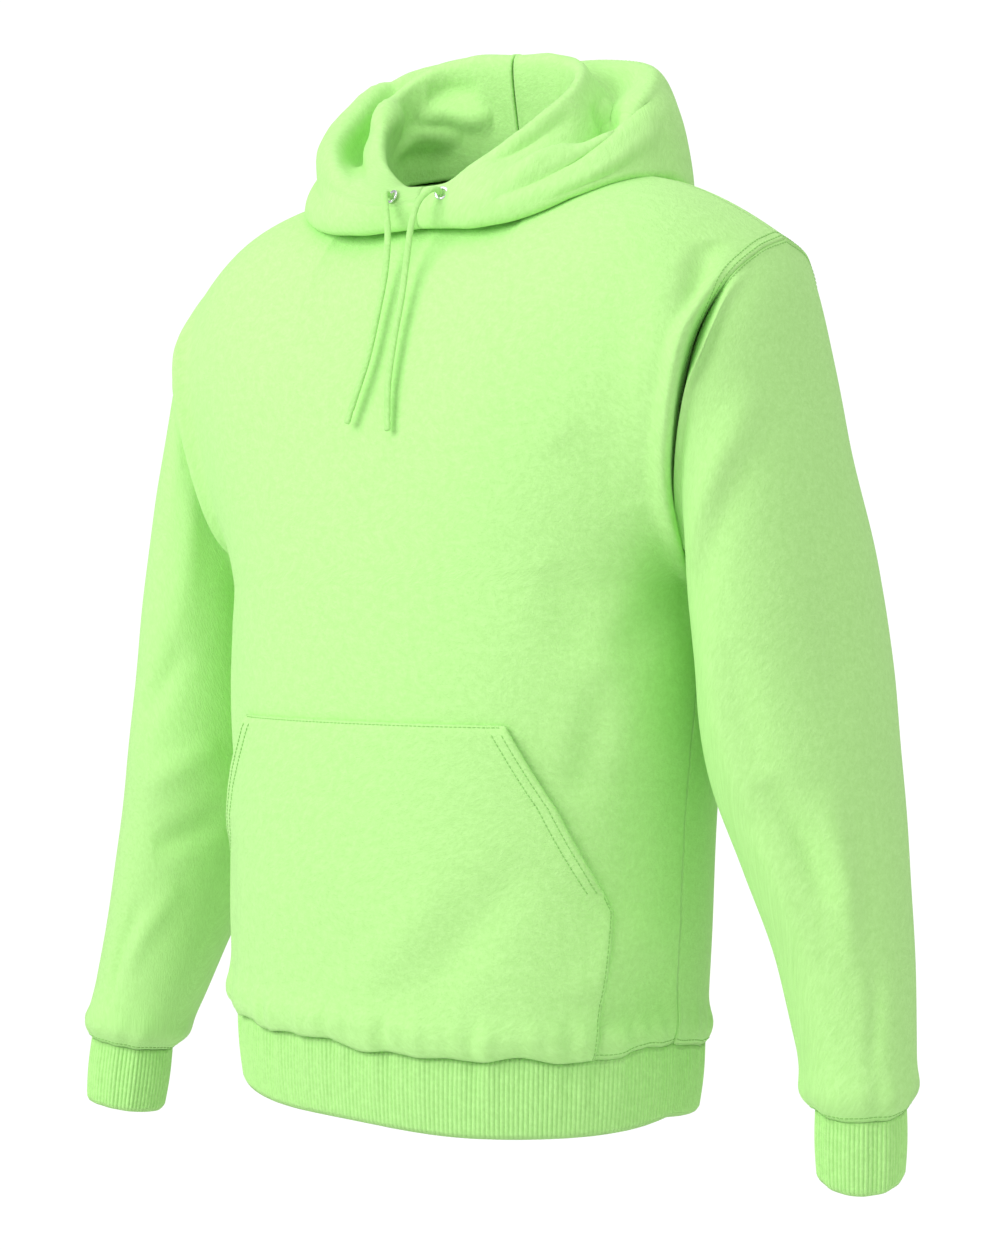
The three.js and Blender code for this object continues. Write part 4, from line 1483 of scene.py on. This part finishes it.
@dataclass
class Pocket:
    """The pouch pocket, laid on the front panel.

    Attributes:
        body: The panels it is sewn to.
        finishes: The garment's materials.
        standoff: Distance from the front panel.
        top: The top edge's place up the front.
        columns: Grid columns across the pocket.
        rows: Grid rows up the pocket.
        open_from: Height at which the hand openings start.
        open_row: Grid row at which their stitching starts.
        gape: How far they stand open.
        edge_turn: How far the cloth turns in at its edges.
        stitch_groove: How far a row of stitches draws it in.
        opening_stitches: Distances of the rows from the openings' edges.
        side_stitch: Distance of the row from the lower side edges.
        top_stitch: Distance of the row from the top edge.
        cloth: The visible surface.
    """

    FOLDS = (
        Fold(((-60, -420), (-20, -500), (40, -560)), 22, 2.2),
        Fold(((30, -600), (70, -560), (96, -500)), 18, -2.6),
        Fold(((-120, -480), (-100, -560), (-110, -620)), 20, -1.6),
        Fold(((110, -560), (128, -590), (140, -620)), 12, 2.0),
        Fold(((-20, -620), (20, -600), (60, -612)), 12, 1.6),
    )

    body: Body
    finishes: Finishes
    standoff: float = 1.7
    top: float = 0.72
    columns: int = 171
    rows: int = 112
    open_from: float = 118.0
    open_row: int = 56
    gape: float = 2.2
    edge_turn: float = 1.4
    stitch_groove: float = 0.5
    opening_stitches: tuple[float, float] = (7.2, 14.6)
    side_stitch: float = 3.0
    top_stitch: float = 2.4
    cloth: Cloth = field(init=False)

    def __post_init__(self) -> None:
        """Works out the pocket's surface."""
        share = np.linspace(-1, 1, self.columns)
        across, v = np.meshgrid(share, np.linspace(0, self.top, self.rows))
        corners = POCKET.rows
        half = np.interp(v, corners[:, 0], corners[:, 1])
        x = np.abs(across) * half
        ratio = np.minimum(x / BODY.read(v, "half"), 1)
        u = (2 / np.pi) * np.arcsin(ratio ** (ROUNDNESS / 2))
        points = body_point(u, v, Panel.FRONT)
        points[..., 0] *= np.where(across < 0, -1, 1)
        points[..., 2] -= points[..., 0] * HEM_SLANT * np.maximum(1 - v, 0)
        plain = Cloth(points)
        side = np.minimum(plain.across, plain.across[:, -1:] - plain.across)
        top = plain.up[-1:] - plain.up
        height = folds_lift(Body.FRONT_FOLDS, points[..., 0], points[..., 2])
        height += self.standoff + WALL
        pocket_folds = folds_lift(self.FOLDS, points[..., 0], points[..., 2])
        fade = smooth(side / 16) * smooth(top / 16) * smooth(plain.up / 24)
        height = height + pocket_folds * fade
        opening = smooth((plain.up - self.open_from) / 20) * smooth(top / 12)
        height += self.gape * opening * bell(side - 3, 12)
        edge = np.minimum(side, top)
        height -= self.edge_turn * bell(edge, 1.2) + 0.6 * bell(top, 4)
        height += 0.5 * bell(side - 3.4, 1.8)
        for distance in self.opening_stitches:
            height -= self.stitch_groove * bell(side - distance, 1.3)
        out, rise = self.body.gathers(np.interp(points[..., 0], *self.body.seam), plain.up)
        self.cloth = plain.raised(height + out)
        self.cloth.points[..., 2] += rise

    def build(self) -> bpy.types.Object:
        """The pocket as a piece.

        Returns:
            The piece.
        """
        piece = shell("pouch_pocket_cloth", self.cloth, self.finishes.cloth, WALL)
        dressed(piece, "cloth", "pouch_pocket")
        return piece

    def stitch(self, stitching: Stitching) -> None:
        """Rows along the openings, sides and top.

        Args:
            stitching: Collects the rows.
        """
        across, up = self.cloth.across, self.cloth.up
        last = self.cloth.points.shape[1] - 1
        every = np.arange(self.cloth.points.shape[0])
        for distance in self.opening_stitches:
            rows = every[(every > self.open_row) & (every < self.rows - 3)]
            near = place_at(across[rows], distance)
            far = place_at((across[rows, -1:] - across[rows])[:, ::-1], distance)
            stitching.row(*self.cloth.line(rows.astype(float), near))
            stitching.row(*self.cloth.line(rows.astype(float), last - far))
        rows = every[every <= self.open_row]
        near = place_at(across[rows], self.side_stitch)
        far = place_at((across[rows, -1:] - across[rows])[:, ::-1], self.side_stitch)
        stitching.row(*self.cloth.line(rows.astype(float), near))
        stitching.row(*self.cloth.line(rows.astype(float), last - far))
        columns = np.arange(3, last - 2)
        down = up[-1:, columns] - up[:, columns]
        rows = every[-1] - place_at(down[::-1].T, self.top_stitch)
        stitching.row(*self.cloth.line(rows, columns.astype(float)))


@dataclass
class Hood:
    """The folded-down hood, in two halves with a seam along the middle.

    Attributes:
        finishes: The garment's materials.
        centre_y: The line that its sections turn about.
        stand: How far the corner above the neckline lies towards the rolled edge, out and up.
        tuck_depth: The most that the foot tucks in.
        tuck_start: Room beside the neck before the foot tucks in.
        tuck_span: Room over which the tuck grows.
        tuck_least: The least that the foot tucks in.
        tuck_rise: How far the tucked end rises.
        tuck_in: How far the end of the foot is drawn in besides.
        clearance: Its distance from the body's cloth.
        sections: Grid rows round one half.
        profile: Grid points along a section.
        foot_share: Share of a section above its foot.
        rest_rows: Sections over which its rest on the body is evened out.
        rest_points: Points over which it is evened out.
        middle_groove: How far the cloth sinks at the middle seam.
        middle_width: How far from that seam it sinks.
        neck_groove: How far it sinks at the neck seam.
        middle_stitch: Distance of the stitch row from the middle seam.
        yoke: The body's faces that it rests on.
        cloth: The visible surface of each half.
    """

    FOLDS = {
        Side.LEFT: (
            Fold(((111, 34), (112, 42), (107, 51), (98, 62)), 3.6, 6.5),
            Fold(((121, 36), (121, 43), (116, 52), (107, 61)), 4.4, -9.0),
            Fold(((46, 68), (72, 65), (98, 63), (112, 63), (126, 58)), 3.8, 6.0),
            Fold(((56, 57), (80, 54), (97, 51)), 4.6, -7.0),
            Fold(((50, 42), (74, 41), (88, 38), (97, 36)), 3.6, 4.5),
            Fold(((66, 75), (88, 74), (110, 72)), 2.6, -3.0),
        ),
        Side.RIGHT: (
            Fold(((116, 16), (130, 15), (146, 12.5), (160, 12)), 2.2, -8.0),
            Fold(((120, 21), (134, 20), (152, 18)), 2.6, 5.0),
            Fold(((96, 13), (112, 12), (125, 10.5), (140, 9)), 2.0, -7.0),
            Fold(((102, 8), (120, 7), (138, 5)), 2.4, 4.0),
            Fold(((80, 33), (92, 27), (102, 18)), 4, -7.0),
            Fold(((48, 56), (75, 58), (95, 60), (118, 60)), 3.8, -13.0),
            Fold(((44, 44), (75, 46), (100, 49), (120, 52)), 4, 6.5),
            Fold(((54, 69), (80, 70), (108, 70)), 5, 6.0),
        ),
    }

    finishes: Finishes
    centre_y: float = -33.0
    stand: tuple[float, float] = (0.7, 0.45)
    tuck_depth: float = 20.0
    tuck_start: float = 6.0
    tuck_span: float = 30.0
    tuck_least: float = 5.0
    tuck_rise: float = 4.0
    tuck_in: float = 6.0
    clearance: float = 4.5
    sections: int = 96
    profile: int = 120
    foot_share: float = 0.9
    rest_rows: int = 10
    rest_points: int = 8
    middle_groove: float = 0.8
    middle_width: float = 1.5
    neck_groove: float = 1.0
    middle_stitch: float = 3.4
    yoke: BVHTree = field(init=False)
    cloth: dict[Side, Cloth] = field(init=False)

    def __post_init__(self) -> None:
        """Works out the two halves' surfaces."""
        self.yoke = self.yoke_faces()
        self.cloth = {side: self.half(side) for side in Side}

    def yoke_faces(self) -> BVHTree:
        """The body's plain panels above the armpit, for resting the hood on.

        Returns:
            A tree of their faces.
        """
        columns = np.linspace(-1, 1, 61)
        rows = np.linspace(1, 2, 31)
        corners: list[Vector] = []
        faces: list[tuple[int, ...]] = []
        for panel in Panel:
            grid = body_cloth(panel, columns, rows).points
            start = len(corners)
            corners.extend(Vector(p) for p in grid.reshape(-1, 3))
            width = grid.shape[1]
            for j in range(grid.shape[0] - 1):
                for i in range(width - 1):
                    k = start + j * width + i
                    faces.append((k, k + 1, k + width + 1, k + width))
        return BVHTree.FromPolygons(corners, faces)

    def clear(self, point: Array) -> Array:
        """Moves a point the shortest way out of the body's cloth.

        Args:
            point: The point in millimetres.

        Returns:
            The point, at least the clearance away.
        """
        at = Vector(point)
        nearest, normal, _, distance = self.yoke.find_nearest(at)
        is_inside = (at - nearest).dot(normal) < 0
        if not is_inside and distance >= self.clearance:
            return point
        return np.array(nearest + normal * self.clearance)

    def section(self, neck: Array, side: Side) -> Array:
        """One section, from the neckline over the rolled edge and ridge to the tucked foot.

        Args:
            neck: The neckline's point on the left half.
            side: Which half.

        Returns:
            Points of the section on the left half.
        """
        turn = math.atan2(neck[0], self.centre_y - neck[1])
        degrees = np.array([math.degrees(turn)])
        away = np.array([math.sin(turn), -math.cos(turn)])

        def value(name: str) -> float:
            """The table's value at this section."""
            return float(HOOD.read(degrees, name)[0])

        swell = value("swell") if side is Side.RIGHT else 0.0
        lift = value("lift") if side is Side.RIGHT else 0.0
        neck_r = math.hypot(neck[0], neck[1] - self.centre_y)
        foot_r = value("footR") + swell
        room = (foot_r - neck_r - self.tuck_start) / self.tuck_span
        tuck = self.tuck_depth * float(smooth(np.array(room))) + self.tuck_least
        inside = neck_r - HOOD_WALL
        out, up = self.stand
        corners = [
            (inside, neck[2] + SEAM_GAP),
            (mix(inside, value("edgeR"), out), mix(neck[2], value("edgeZ"), up)),
            (value("edgeR"), value("edgeZ") + lift / 2),
            (value("dipR") + swell / 2, value("dipZ") + lift / 2),
            (value("ridgeR") + swell, value("ridgeZ") + lift),
            (value("sideR") + swell, value("sideZ") + lift / 2),
            (foot_r, value("footZ")),
            (foot_r - tuck, value("footZ") + self.tuck_rise),
        ]
        flat = centripetal(np.array(corners), self.profile)
        points = np.column_stack(
            [flat[:, 0] * away[0], self.centre_y + flat[:, 0] * away[1], flat[:, 1]]
        )
        outside = flat[:, 0] > neck_r
        cleared = np.array([self.clear(p) if out else p for p, out in zip(points, outside)])
        return np.stack([points, cleared])

    def half(self, side: Side) -> Cloth:
        """One half of the hood with its folds and middle seam.

        Args:
            side: Which half.

        Returns:
            The visible surface.
        """
        halfway = self.sections // 2
        u = np.linspace(0, NECK_COLUMN, halfway)
        front = top_edge(u, Panel.FRONT)
        back = top_edge(u[::-1], Panel.BACK)[1:]
        neckline = np.concatenate([front, back])
        pairs = np.array([self.section(neck, side) for neck in neckline])
        push = soften(pairs[:, 1] - pairs[:, 0], self.rest_rows, self.rest_points)
        foot = int(self.profile * self.foot_share)
        push[:, foot:] = push[:, foot : foot + 1]
        inward = np.array([0, self.centre_y]) - pairs[:, 0, :, :2]
        inward /= np.linalg.norm(inward, axis=2, keepdims=True)
        tucked = smooth((np.arange(self.profile) - foot) / (self.profile - foot))
        push[..., :2] += self.tuck_in * inward * tucked[None, :, None]
        grid = pairs[:, 0] + push
        grid[0, :, 0] = grid[-1, :, 0] = SEAM_GAP / 2
        turn = np.degrees(np.arctan2(grid[..., 0], self.centre_y - grid[..., 1]))
        share = np.linspace(0, 100, grid.shape[1])[None] + 0 * turn
        cloth = Cloth(grid.transpose(1, 0, 2))
        height = folds_lift(self.FOLDS[side], turn, share).T
        along = cloth.across
        to_front = along
        to_back = along[:, -1:] - along
        fade = smooth(np.minimum(to_front, to_back) / 20)
        height = height * fade
        height -= self.middle_groove * bell(to_back, self.middle_width)
        height -= self.neck_groove * bell(cloth.up, 2.0)
        height += 0.4 * uneven(along + 0.7 * cloth.up, 0.5, 43, 71, 119) * fade
        return on_side(cloth.raised(height), side)

    def build(self) -> list[bpy.types.Object]:
        """The two halves as pieces.

        Returns:
            The pieces.
        """
        pieces = []
        for side in Side:
            word = side.word
            piece = shell(f"hood_cloth_{word}", self.cloth[side], self.finishes.cloth, HOOD_WALL)
            dressed(piece, "cloth", f"hood_{word}")
            pieces.append(piece)
        return pieces

    def stitch(self, stitching: Stitching) -> None:
        """A row along the middle seam on each half.

        Args:
            stitching: Collects the rows.
        """
        for side in Side:
            cloth = self.cloth[side]
            rows = np.arange(cloth.points.shape[0]).astype(float)
            last = cloth.points.shape[1] - 1
            if side is Side.LEFT:
                to_end = (cloth.across[:, -1:] - cloth.across)[:, ::-1]
                near = last - place_at(to_end, self.middle_stitch)
            else:
                near = place_at(cloth.across, self.middle_stitch)
            stitching.row(*cloth.line(rows, near), pitch=3.6)


def soften(grid: Array, rows: int, columns: int) -> Array:
    """Averages a grid over its neighbours, keeping its size.

    Args:
        grid: Rows by columns by coordinates.
        rows: How many rows to each side are averaged.
        columns: How many columns to each side are averaged.

    Returns:
        The softened grid.
    """
    for axis, reach in ((0, rows), (1, columns)):
        kernel = np.hanning(2 * reach + 3)[1:-1]
        kernel /= kernel.sum()
        pads = [(0, 0)] * 3
        pads[axis] = (reach, reach)
        wide = np.pad(grid, pads, mode="edge")
        size = grid.shape[axis]
        grid = sum(
            weight * np.take(wide, np.arange(size) + k, axis=axis)
            for k, weight in enumerate(kernel)
        )
    return grid


def centripetal(corners: Array, count: int) -> Array:
    """A centripetal Catmull-Rom curve with as many steps between each pair of corners.

    Args:
        corners: Corner points, any number of coordinates.
        count: Number of points wanted.

    Returns:
        Points on the curve, evenly spaced along it.
    """
    first = 2 * corners[0] - corners[1]
    last = 2 * corners[-1] - corners[-2]
    p = np.concatenate([[first], corners, [last]])
    found = []
    for k in range(1, len(p) - 2):
        knots = [0.0]
        for a, b in ((k - 1, k), (k, k + 1), (k + 1, k + 2)):
            knots.append(knots[-1] + max(np.linalg.norm(p[b] - p[a]) ** 0.5, 1e-6))
        t = np.linspace(knots[1], knots[2], 40)[:, None]

        def between(low: Array, high: Array, start: float, end: float) -> Array:
            """Mixes two points by the knots that they belong to."""
            return low * (end - t) / (end - start) + high * (t - start) / (end - start)

        a1 = between(p[k - 1], p[k], knots[0], knots[1])
        a2 = between(p[k], p[k + 1], knots[1], knots[2])
        a3 = between(p[k + 1], p[k + 2], knots[2], knots[3])
        b1 = between(a1, a2, knots[0], knots[2])
        b2 = between(a2, a3, knots[1], knots[3])
        found.append(between(b1, b2, knots[1], knots[2]))
    line = np.concatenate(found)
    steps = np.linalg.norm(np.diff(line, axis=0), axis=1)
    arc = np.concatenate([[0], np.cumsum(steps)])
    at = np.linspace(0, arc[-1], count)
    return np.stack([np.interp(at, arc, line[:, k]) for k in range(line.shape[1])], axis=1)


@dataclass
class Cords:
    """The two hanging ends of the drawcord and the eyelets they come out of.

    Attributes:
        finishes: The garment's materials.
        diameter: Width of the cord.
        flatness: Its thickness as a share of its width.
        braid: Depth of its braid.
        sides: Points round the cord.
        route_points: Points along the cord.
        eyelet_radius: From an eyelet's middle to the middle of its rim.
        rim_radius: Half the width of the rim.
        rim_rise: Half the height of the rim.
        rim_points: Points round the rim.
    """

    ROUTES = {
        Side.LEFT: (
            (22.9, -97.4, -15.6), (21.5, -105, -13.8), (16, -114, -22), (12, -118, -38),
            (10, -121, -62), (12, -130, -92), (13, -141, -126), (14, -149, -158), (18, -155, -190),
        ),
        Side.RIGHT: (
            (-22.9, -97.4, -15.6), (-22.5, -105, -14.2), (-17, -111, -26), (-13, -114, -44),
            (-9, -122, -72), (-7, -134, -104), (-8, -145, -138), (-13, -152, -164),
            (-18, -156, -184),
        ),
    }

    finishes: Finishes
    diameter: float = 5.4
    flatness: float = 0.68
    braid: float = 0.22
    sides: int = 24
    route_points: int = 260
    eyelet_radius: float = 4.3
    rim_radius: float = 1.25
    rim_rise: float = 1.0
    rim_points: int = 14

    def cord(self, side: Side) -> bpy.types.Object:
        """One cord end as a braided tube with a bound tip.

        Args:
            side: Which side.

        Returns:
            The piece.
        """
        corners = np.array(self.ROUTES[side], float)
        route = centripetal(corners, self.route_points)
        steps = np.linalg.norm(np.diff(route, axis=0), axis=1)
        arc = np.concatenate([[0], np.cumsum(steps)])
        tangent = np.gradient(route, axis=0)
        tangent /= np.linalg.norm(tangent, axis=1, keepdims=True)
        wide = np.cross(tangent, np.array([0.0, -1.0, 0.35]))
        wide /= np.linalg.norm(wide, axis=1, keepdims=True)
        deep = np.cross(wide, tangent)
        angle = np.linspace(0, 2 * np.pi, self.sides + 1)[None]
        length = arc[:, None]
        one_way = np.abs(np.sin(3 * angle + length * 1.15))
        other_way = np.abs(np.sin(3 * angle - length * 1.15 + 0.8))
        weave = np.maximum(one_way, other_way)
        radius = self.diameter / 2 - self.braid + self.braid * weave
        to_end = arc[-1] - length
        radius = radius * (1 - 0.16 * bell(to_end - 9, 1.5)) * (0.9 + 0.1 * smooth(to_end / 3))
        radius = radius * np.where((to_end < 0.4) | (length < 0.4), 0.6, 1.0)
        points = (
            route[:, None]
            + wide[:, None] * (radius * np.cos(angle))[..., None]
            + deep[:, None] * (radius * self.flatness * np.sin(angle))[..., None]
        )
        word = side.word
        cloth = Cloth(points, is_ring=True)
        piece = self.tube(f"drawcord_braid_{word}", cloth)
        dressed(piece, "cord", f"drawcord_{word}")
        path = centripetal(corners, 36) * MM
        return piece

    def tube(self, name: str, cloth: Cloth) -> bpy.types.Object:
        """A closed tube with capped ends.

        Args:
            name: Object name.
            cloth: Rings of points, the last column repeating the first.

        Returns:
            The new object.
        """
        piece = shell(name, cloth, self.finishes.cord, WALL)
        piece.modifiers.clear()
        bm = bmesh.new()
        bm.from_mesh(piece.data)
        rims = [edge for edge in bm.edges if edge.is_boundary]
        bmesh.ops.holes_fill(bm, edges=rims, sides=0)
        bmesh.ops.recalc_face_normals(bm, faces=bm.faces)
        bm.to_mesh(piece.data)
        bm.free()
        return piece

    def eyelet(self, side: Side) -> bpy.types.Object:
        """A rolled metal eyelet, spun round its axis.

        Args:
            side: Which side.

        Returns:
            The piece.
        """
        word = side.word
        low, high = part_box(f"eyelet_{word}")
        centre = (low + high) / 2
        lean, turn = math.radians(25), math.radians(16) * side.value
        axis = Vector(
            (math.sin(turn) * math.cos(lean), -math.cos(turn) * math.cos(lean), math.sin(lean))
        )
        across = axis.orthogonal().normalized()
        bm = bmesh.new()
        ring = []
        count = self.rim_points
        for k in range(count):
            angle = 2 * math.pi * k / count
            reach = (self.eyelet_radius + self.rim_radius * math.cos(angle)) * MM
            rise = self.rim_rise * math.sin(angle) * MM
            ring.append(bm.verts.new(centre + across * reach + axis * rise))
        edges = [bm.edges.new((ring[k], ring[(k + 1) % count])) for k in range(count)]
        bmesh.ops.spin(
            bm,
            geom=ring + edges,
            cent=centre,
            axis=axis,
            angle=2 * math.pi,
            steps=56,
            use_merge=True,
        )
        bmesh.ops.remove_doubles(bm, verts=bm.verts, dist=1e-6)
        bmesh.ops.recalc_face_normals(bm, faces=bm.faces)
        mesh = bpy.data.meshes.new(f"eyelet_ring_{word}")
        bm.to_mesh(mesh)
        bm.free()
        mesh.materials.append(self.finishes.metal)
        mesh.shade_smooth()
        piece = bpy.data.objects.new(f"eyelet_ring_{word}", mesh)
        bpy.context.collection.objects.link(piece)
        return dressed(piece, "eyelet", f"eyelet_{word}")


@dataclass(frozen=True)
class Lamp:
    """A soft area light aimed at the garment.

    Attributes:
        name: Object name.
        azimuth: Degrees round the garment, 0 in front of it.
        elevation: Degrees above the level.
        distance: Metres from the garment's middle.
        size: Metres across.
        power: Watts.
    """

    name: str
    azimuth: float
    elevation: float
    distance: float
    size: float
    power: float

    def place(self, target: Vector) -> None:
        """Makes the light.

        Args:
            target: Point it is aimed at.
        """
        data = bpy.data.lights.new(self.name, "AREA")
        data.shape = "SQUARE"
        data.size = self.size
        data.energy = self.power
        lamp = bpy.data.objects.new(self.name, data)
        a, e = math.radians(self.azimuth), math.radians(self.elevation)
        back = Vector((math.sin(a) * math.cos(e), -math.cos(a) * math.cos(e), math.sin(e)))
        lamp.location = target + back * self.distance
        lamp.rotation_mode = "QUATERNION"
        lamp.rotation_quaternion = (-back).to_track_quat("-Z", "Y")
        bpy.context.collection.objects.link(lamp)


@dataclass(frozen=True)
class Studio:
    """Camera, soft lights, pale surroundings and floor.

    Attributes:
        middle: Point that the camera and the lamps aim at.
        azimuth: Degrees round the garment to the camera.
        distance: Metres from the point to the camera.
        lens: Focal length in millimetres.
        floor_z: Height of the floor.
        around: Brightness of the surroundings on the garment.
        behind: Brightness of the surroundings in the picture.
        lamps: The area lights.
    """

    middle: tuple[float, float, float] = (0.0030, 0.0022, -0.328)
    azimuth: float = 36.0
    distance: float = 3.1
    lens: float = 120.0
    floor_z: float = -1.45
    around: float = 0.5
    behind: float = 1.06
    lamps: tuple[Lamp, ...] = (
        Lamp("key", -20, 26, 2.6, 1.8, 46),
        Lamp("fill", 84, 14, 2.8, 2.2, 15),
        Lamp("top", 20, 74, 2.4, 1.6, 12),
        Lamp("behind", 205, 40, 2.8, 2.2, 14),
    )

    def camera(self) -> None:
        """Makes the camera at the photo's angle."""
        data = bpy.data.cameras.new("camera")
        data.lens = self.lens
        data.sensor_width = 36.0
        camera = bpy.data.objects.new("camera", data)
        a = math.radians(self.azimuth)
        back = Vector((math.sin(a), -math.cos(a), 0))
        camera.location = Vector(self.middle) + back * self.distance
        camera.rotation_euler = (math.pi / 2, 0, a)
        bpy.context.collection.objects.link(camera)
        bpy.context.scene.camera = camera
        bpy.context.scene.view_settings.view_transform = "Standard"

    def light(self) -> None:
        """Makes the lights, the surroundings and the floor."""
        for lamp in self.lamps:
            lamp.place(Vector(self.middle))
        world = bpy.data.worlds.new("surroundings")
        bpy.context.scene.world = world
        graph = NodeGraph(world)
        around = graph.add("ShaderNodeBackground", Color=(1, 1, 1, 1), Strength=self.around)
        behind = graph.add("ShaderNodeBackground", Color=(1, 1, 1, 1), Strength=self.behind)
        path = graph.add("ShaderNodeLightPath")
        choice = graph.add("ShaderNodeMixShader", Fac=path.outputs["Is Camera Ray"])
        graph.link(around.outputs["Background"], choice.inputs[1])
        graph.link(behind.outputs["Background"], choice.inputs[2])
        out = graph.add("ShaderNodeOutputWorld")
        graph.link(choice.outputs["Shader"], out.inputs["Surface"])
        bm = bmesh.new()
        bmesh.ops.create_grid(bm, x_segments=8, y_segments=8, size=3.0)
        bmesh.ops.translate(bm, verts=bm.verts, vec=(0, 0, self.floor_z))
        mesh = bpy.data.meshes.new("floor")
        bm.to_mesh(mesh)
        bm.free()
        material = bpy.data.materials.new("pale_floor")
        graph = NodeGraph(material)
        shader = graph.add("ShaderNodeBsdfPrincipled", Roughness=0.8)
        shader.inputs["Base Color"].default_value = (0.95, 0.95, 0.95, 1)
        out = graph.add("ShaderNodeOutputMaterial")
        graph.link(shader.outputs["BSDF"], out.inputs["Surface"])
        mesh.materials.append(material)
        floor = bpy.data.objects.new("floor", mesh)
        bpy.context.collection.objects.link(floor)


def garment() -> list[bpy.types.Object]:
    """Makes the garment's pieces, sub-assembly by sub-assembly.

    Returns:
        The pieces.
    """
    finishes = Finishes()
    pieces = []
    cords = Cords(finishes)
    for side in Side:
        pieces += [cords.cord(side), cords.eyelet(side)]
    body = Body(finishes)
    pieces += body.build()
    bands = Bands(finishes)
    pieces.append(bands.hem(body))
    sleeves = [Sleeve(side, finishes) for side in Side]
    for sleeve in sleeves:
        pieces += [sleeve.build(), bands.cuff(sleeve)]
    pocket = Pocket(body, finishes)
    pieces.append(pocket.build())
    hood = Hood(finishes)
    pieces += hood.build()
    seams = Stitching()
    for part in (body, *sleeves, hood):
        part.stitch(seams)
    pieces.append(seams.make("seam_stitching", finishes.thread))
    pocket_seams = Stitching()
    pocket.stitch(pocket_seams)
    pieces.append(pocket_seams.make("pocket_stitching", finishes.thread))
    return pieces


def main() -> None:
    """Builds the camera, the garment and the studio."""
    logging.basicConfig(level=logging.INFO)
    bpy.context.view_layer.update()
    studio = Studio()
    studio.camera()
    for piece in garment():
        LOG.info("%s: %d faces", piece.name, len(piece.data.polygons))
    studio.light()
    bpy.context.view_layer.update()


if __name__ == "__main__":
    main()
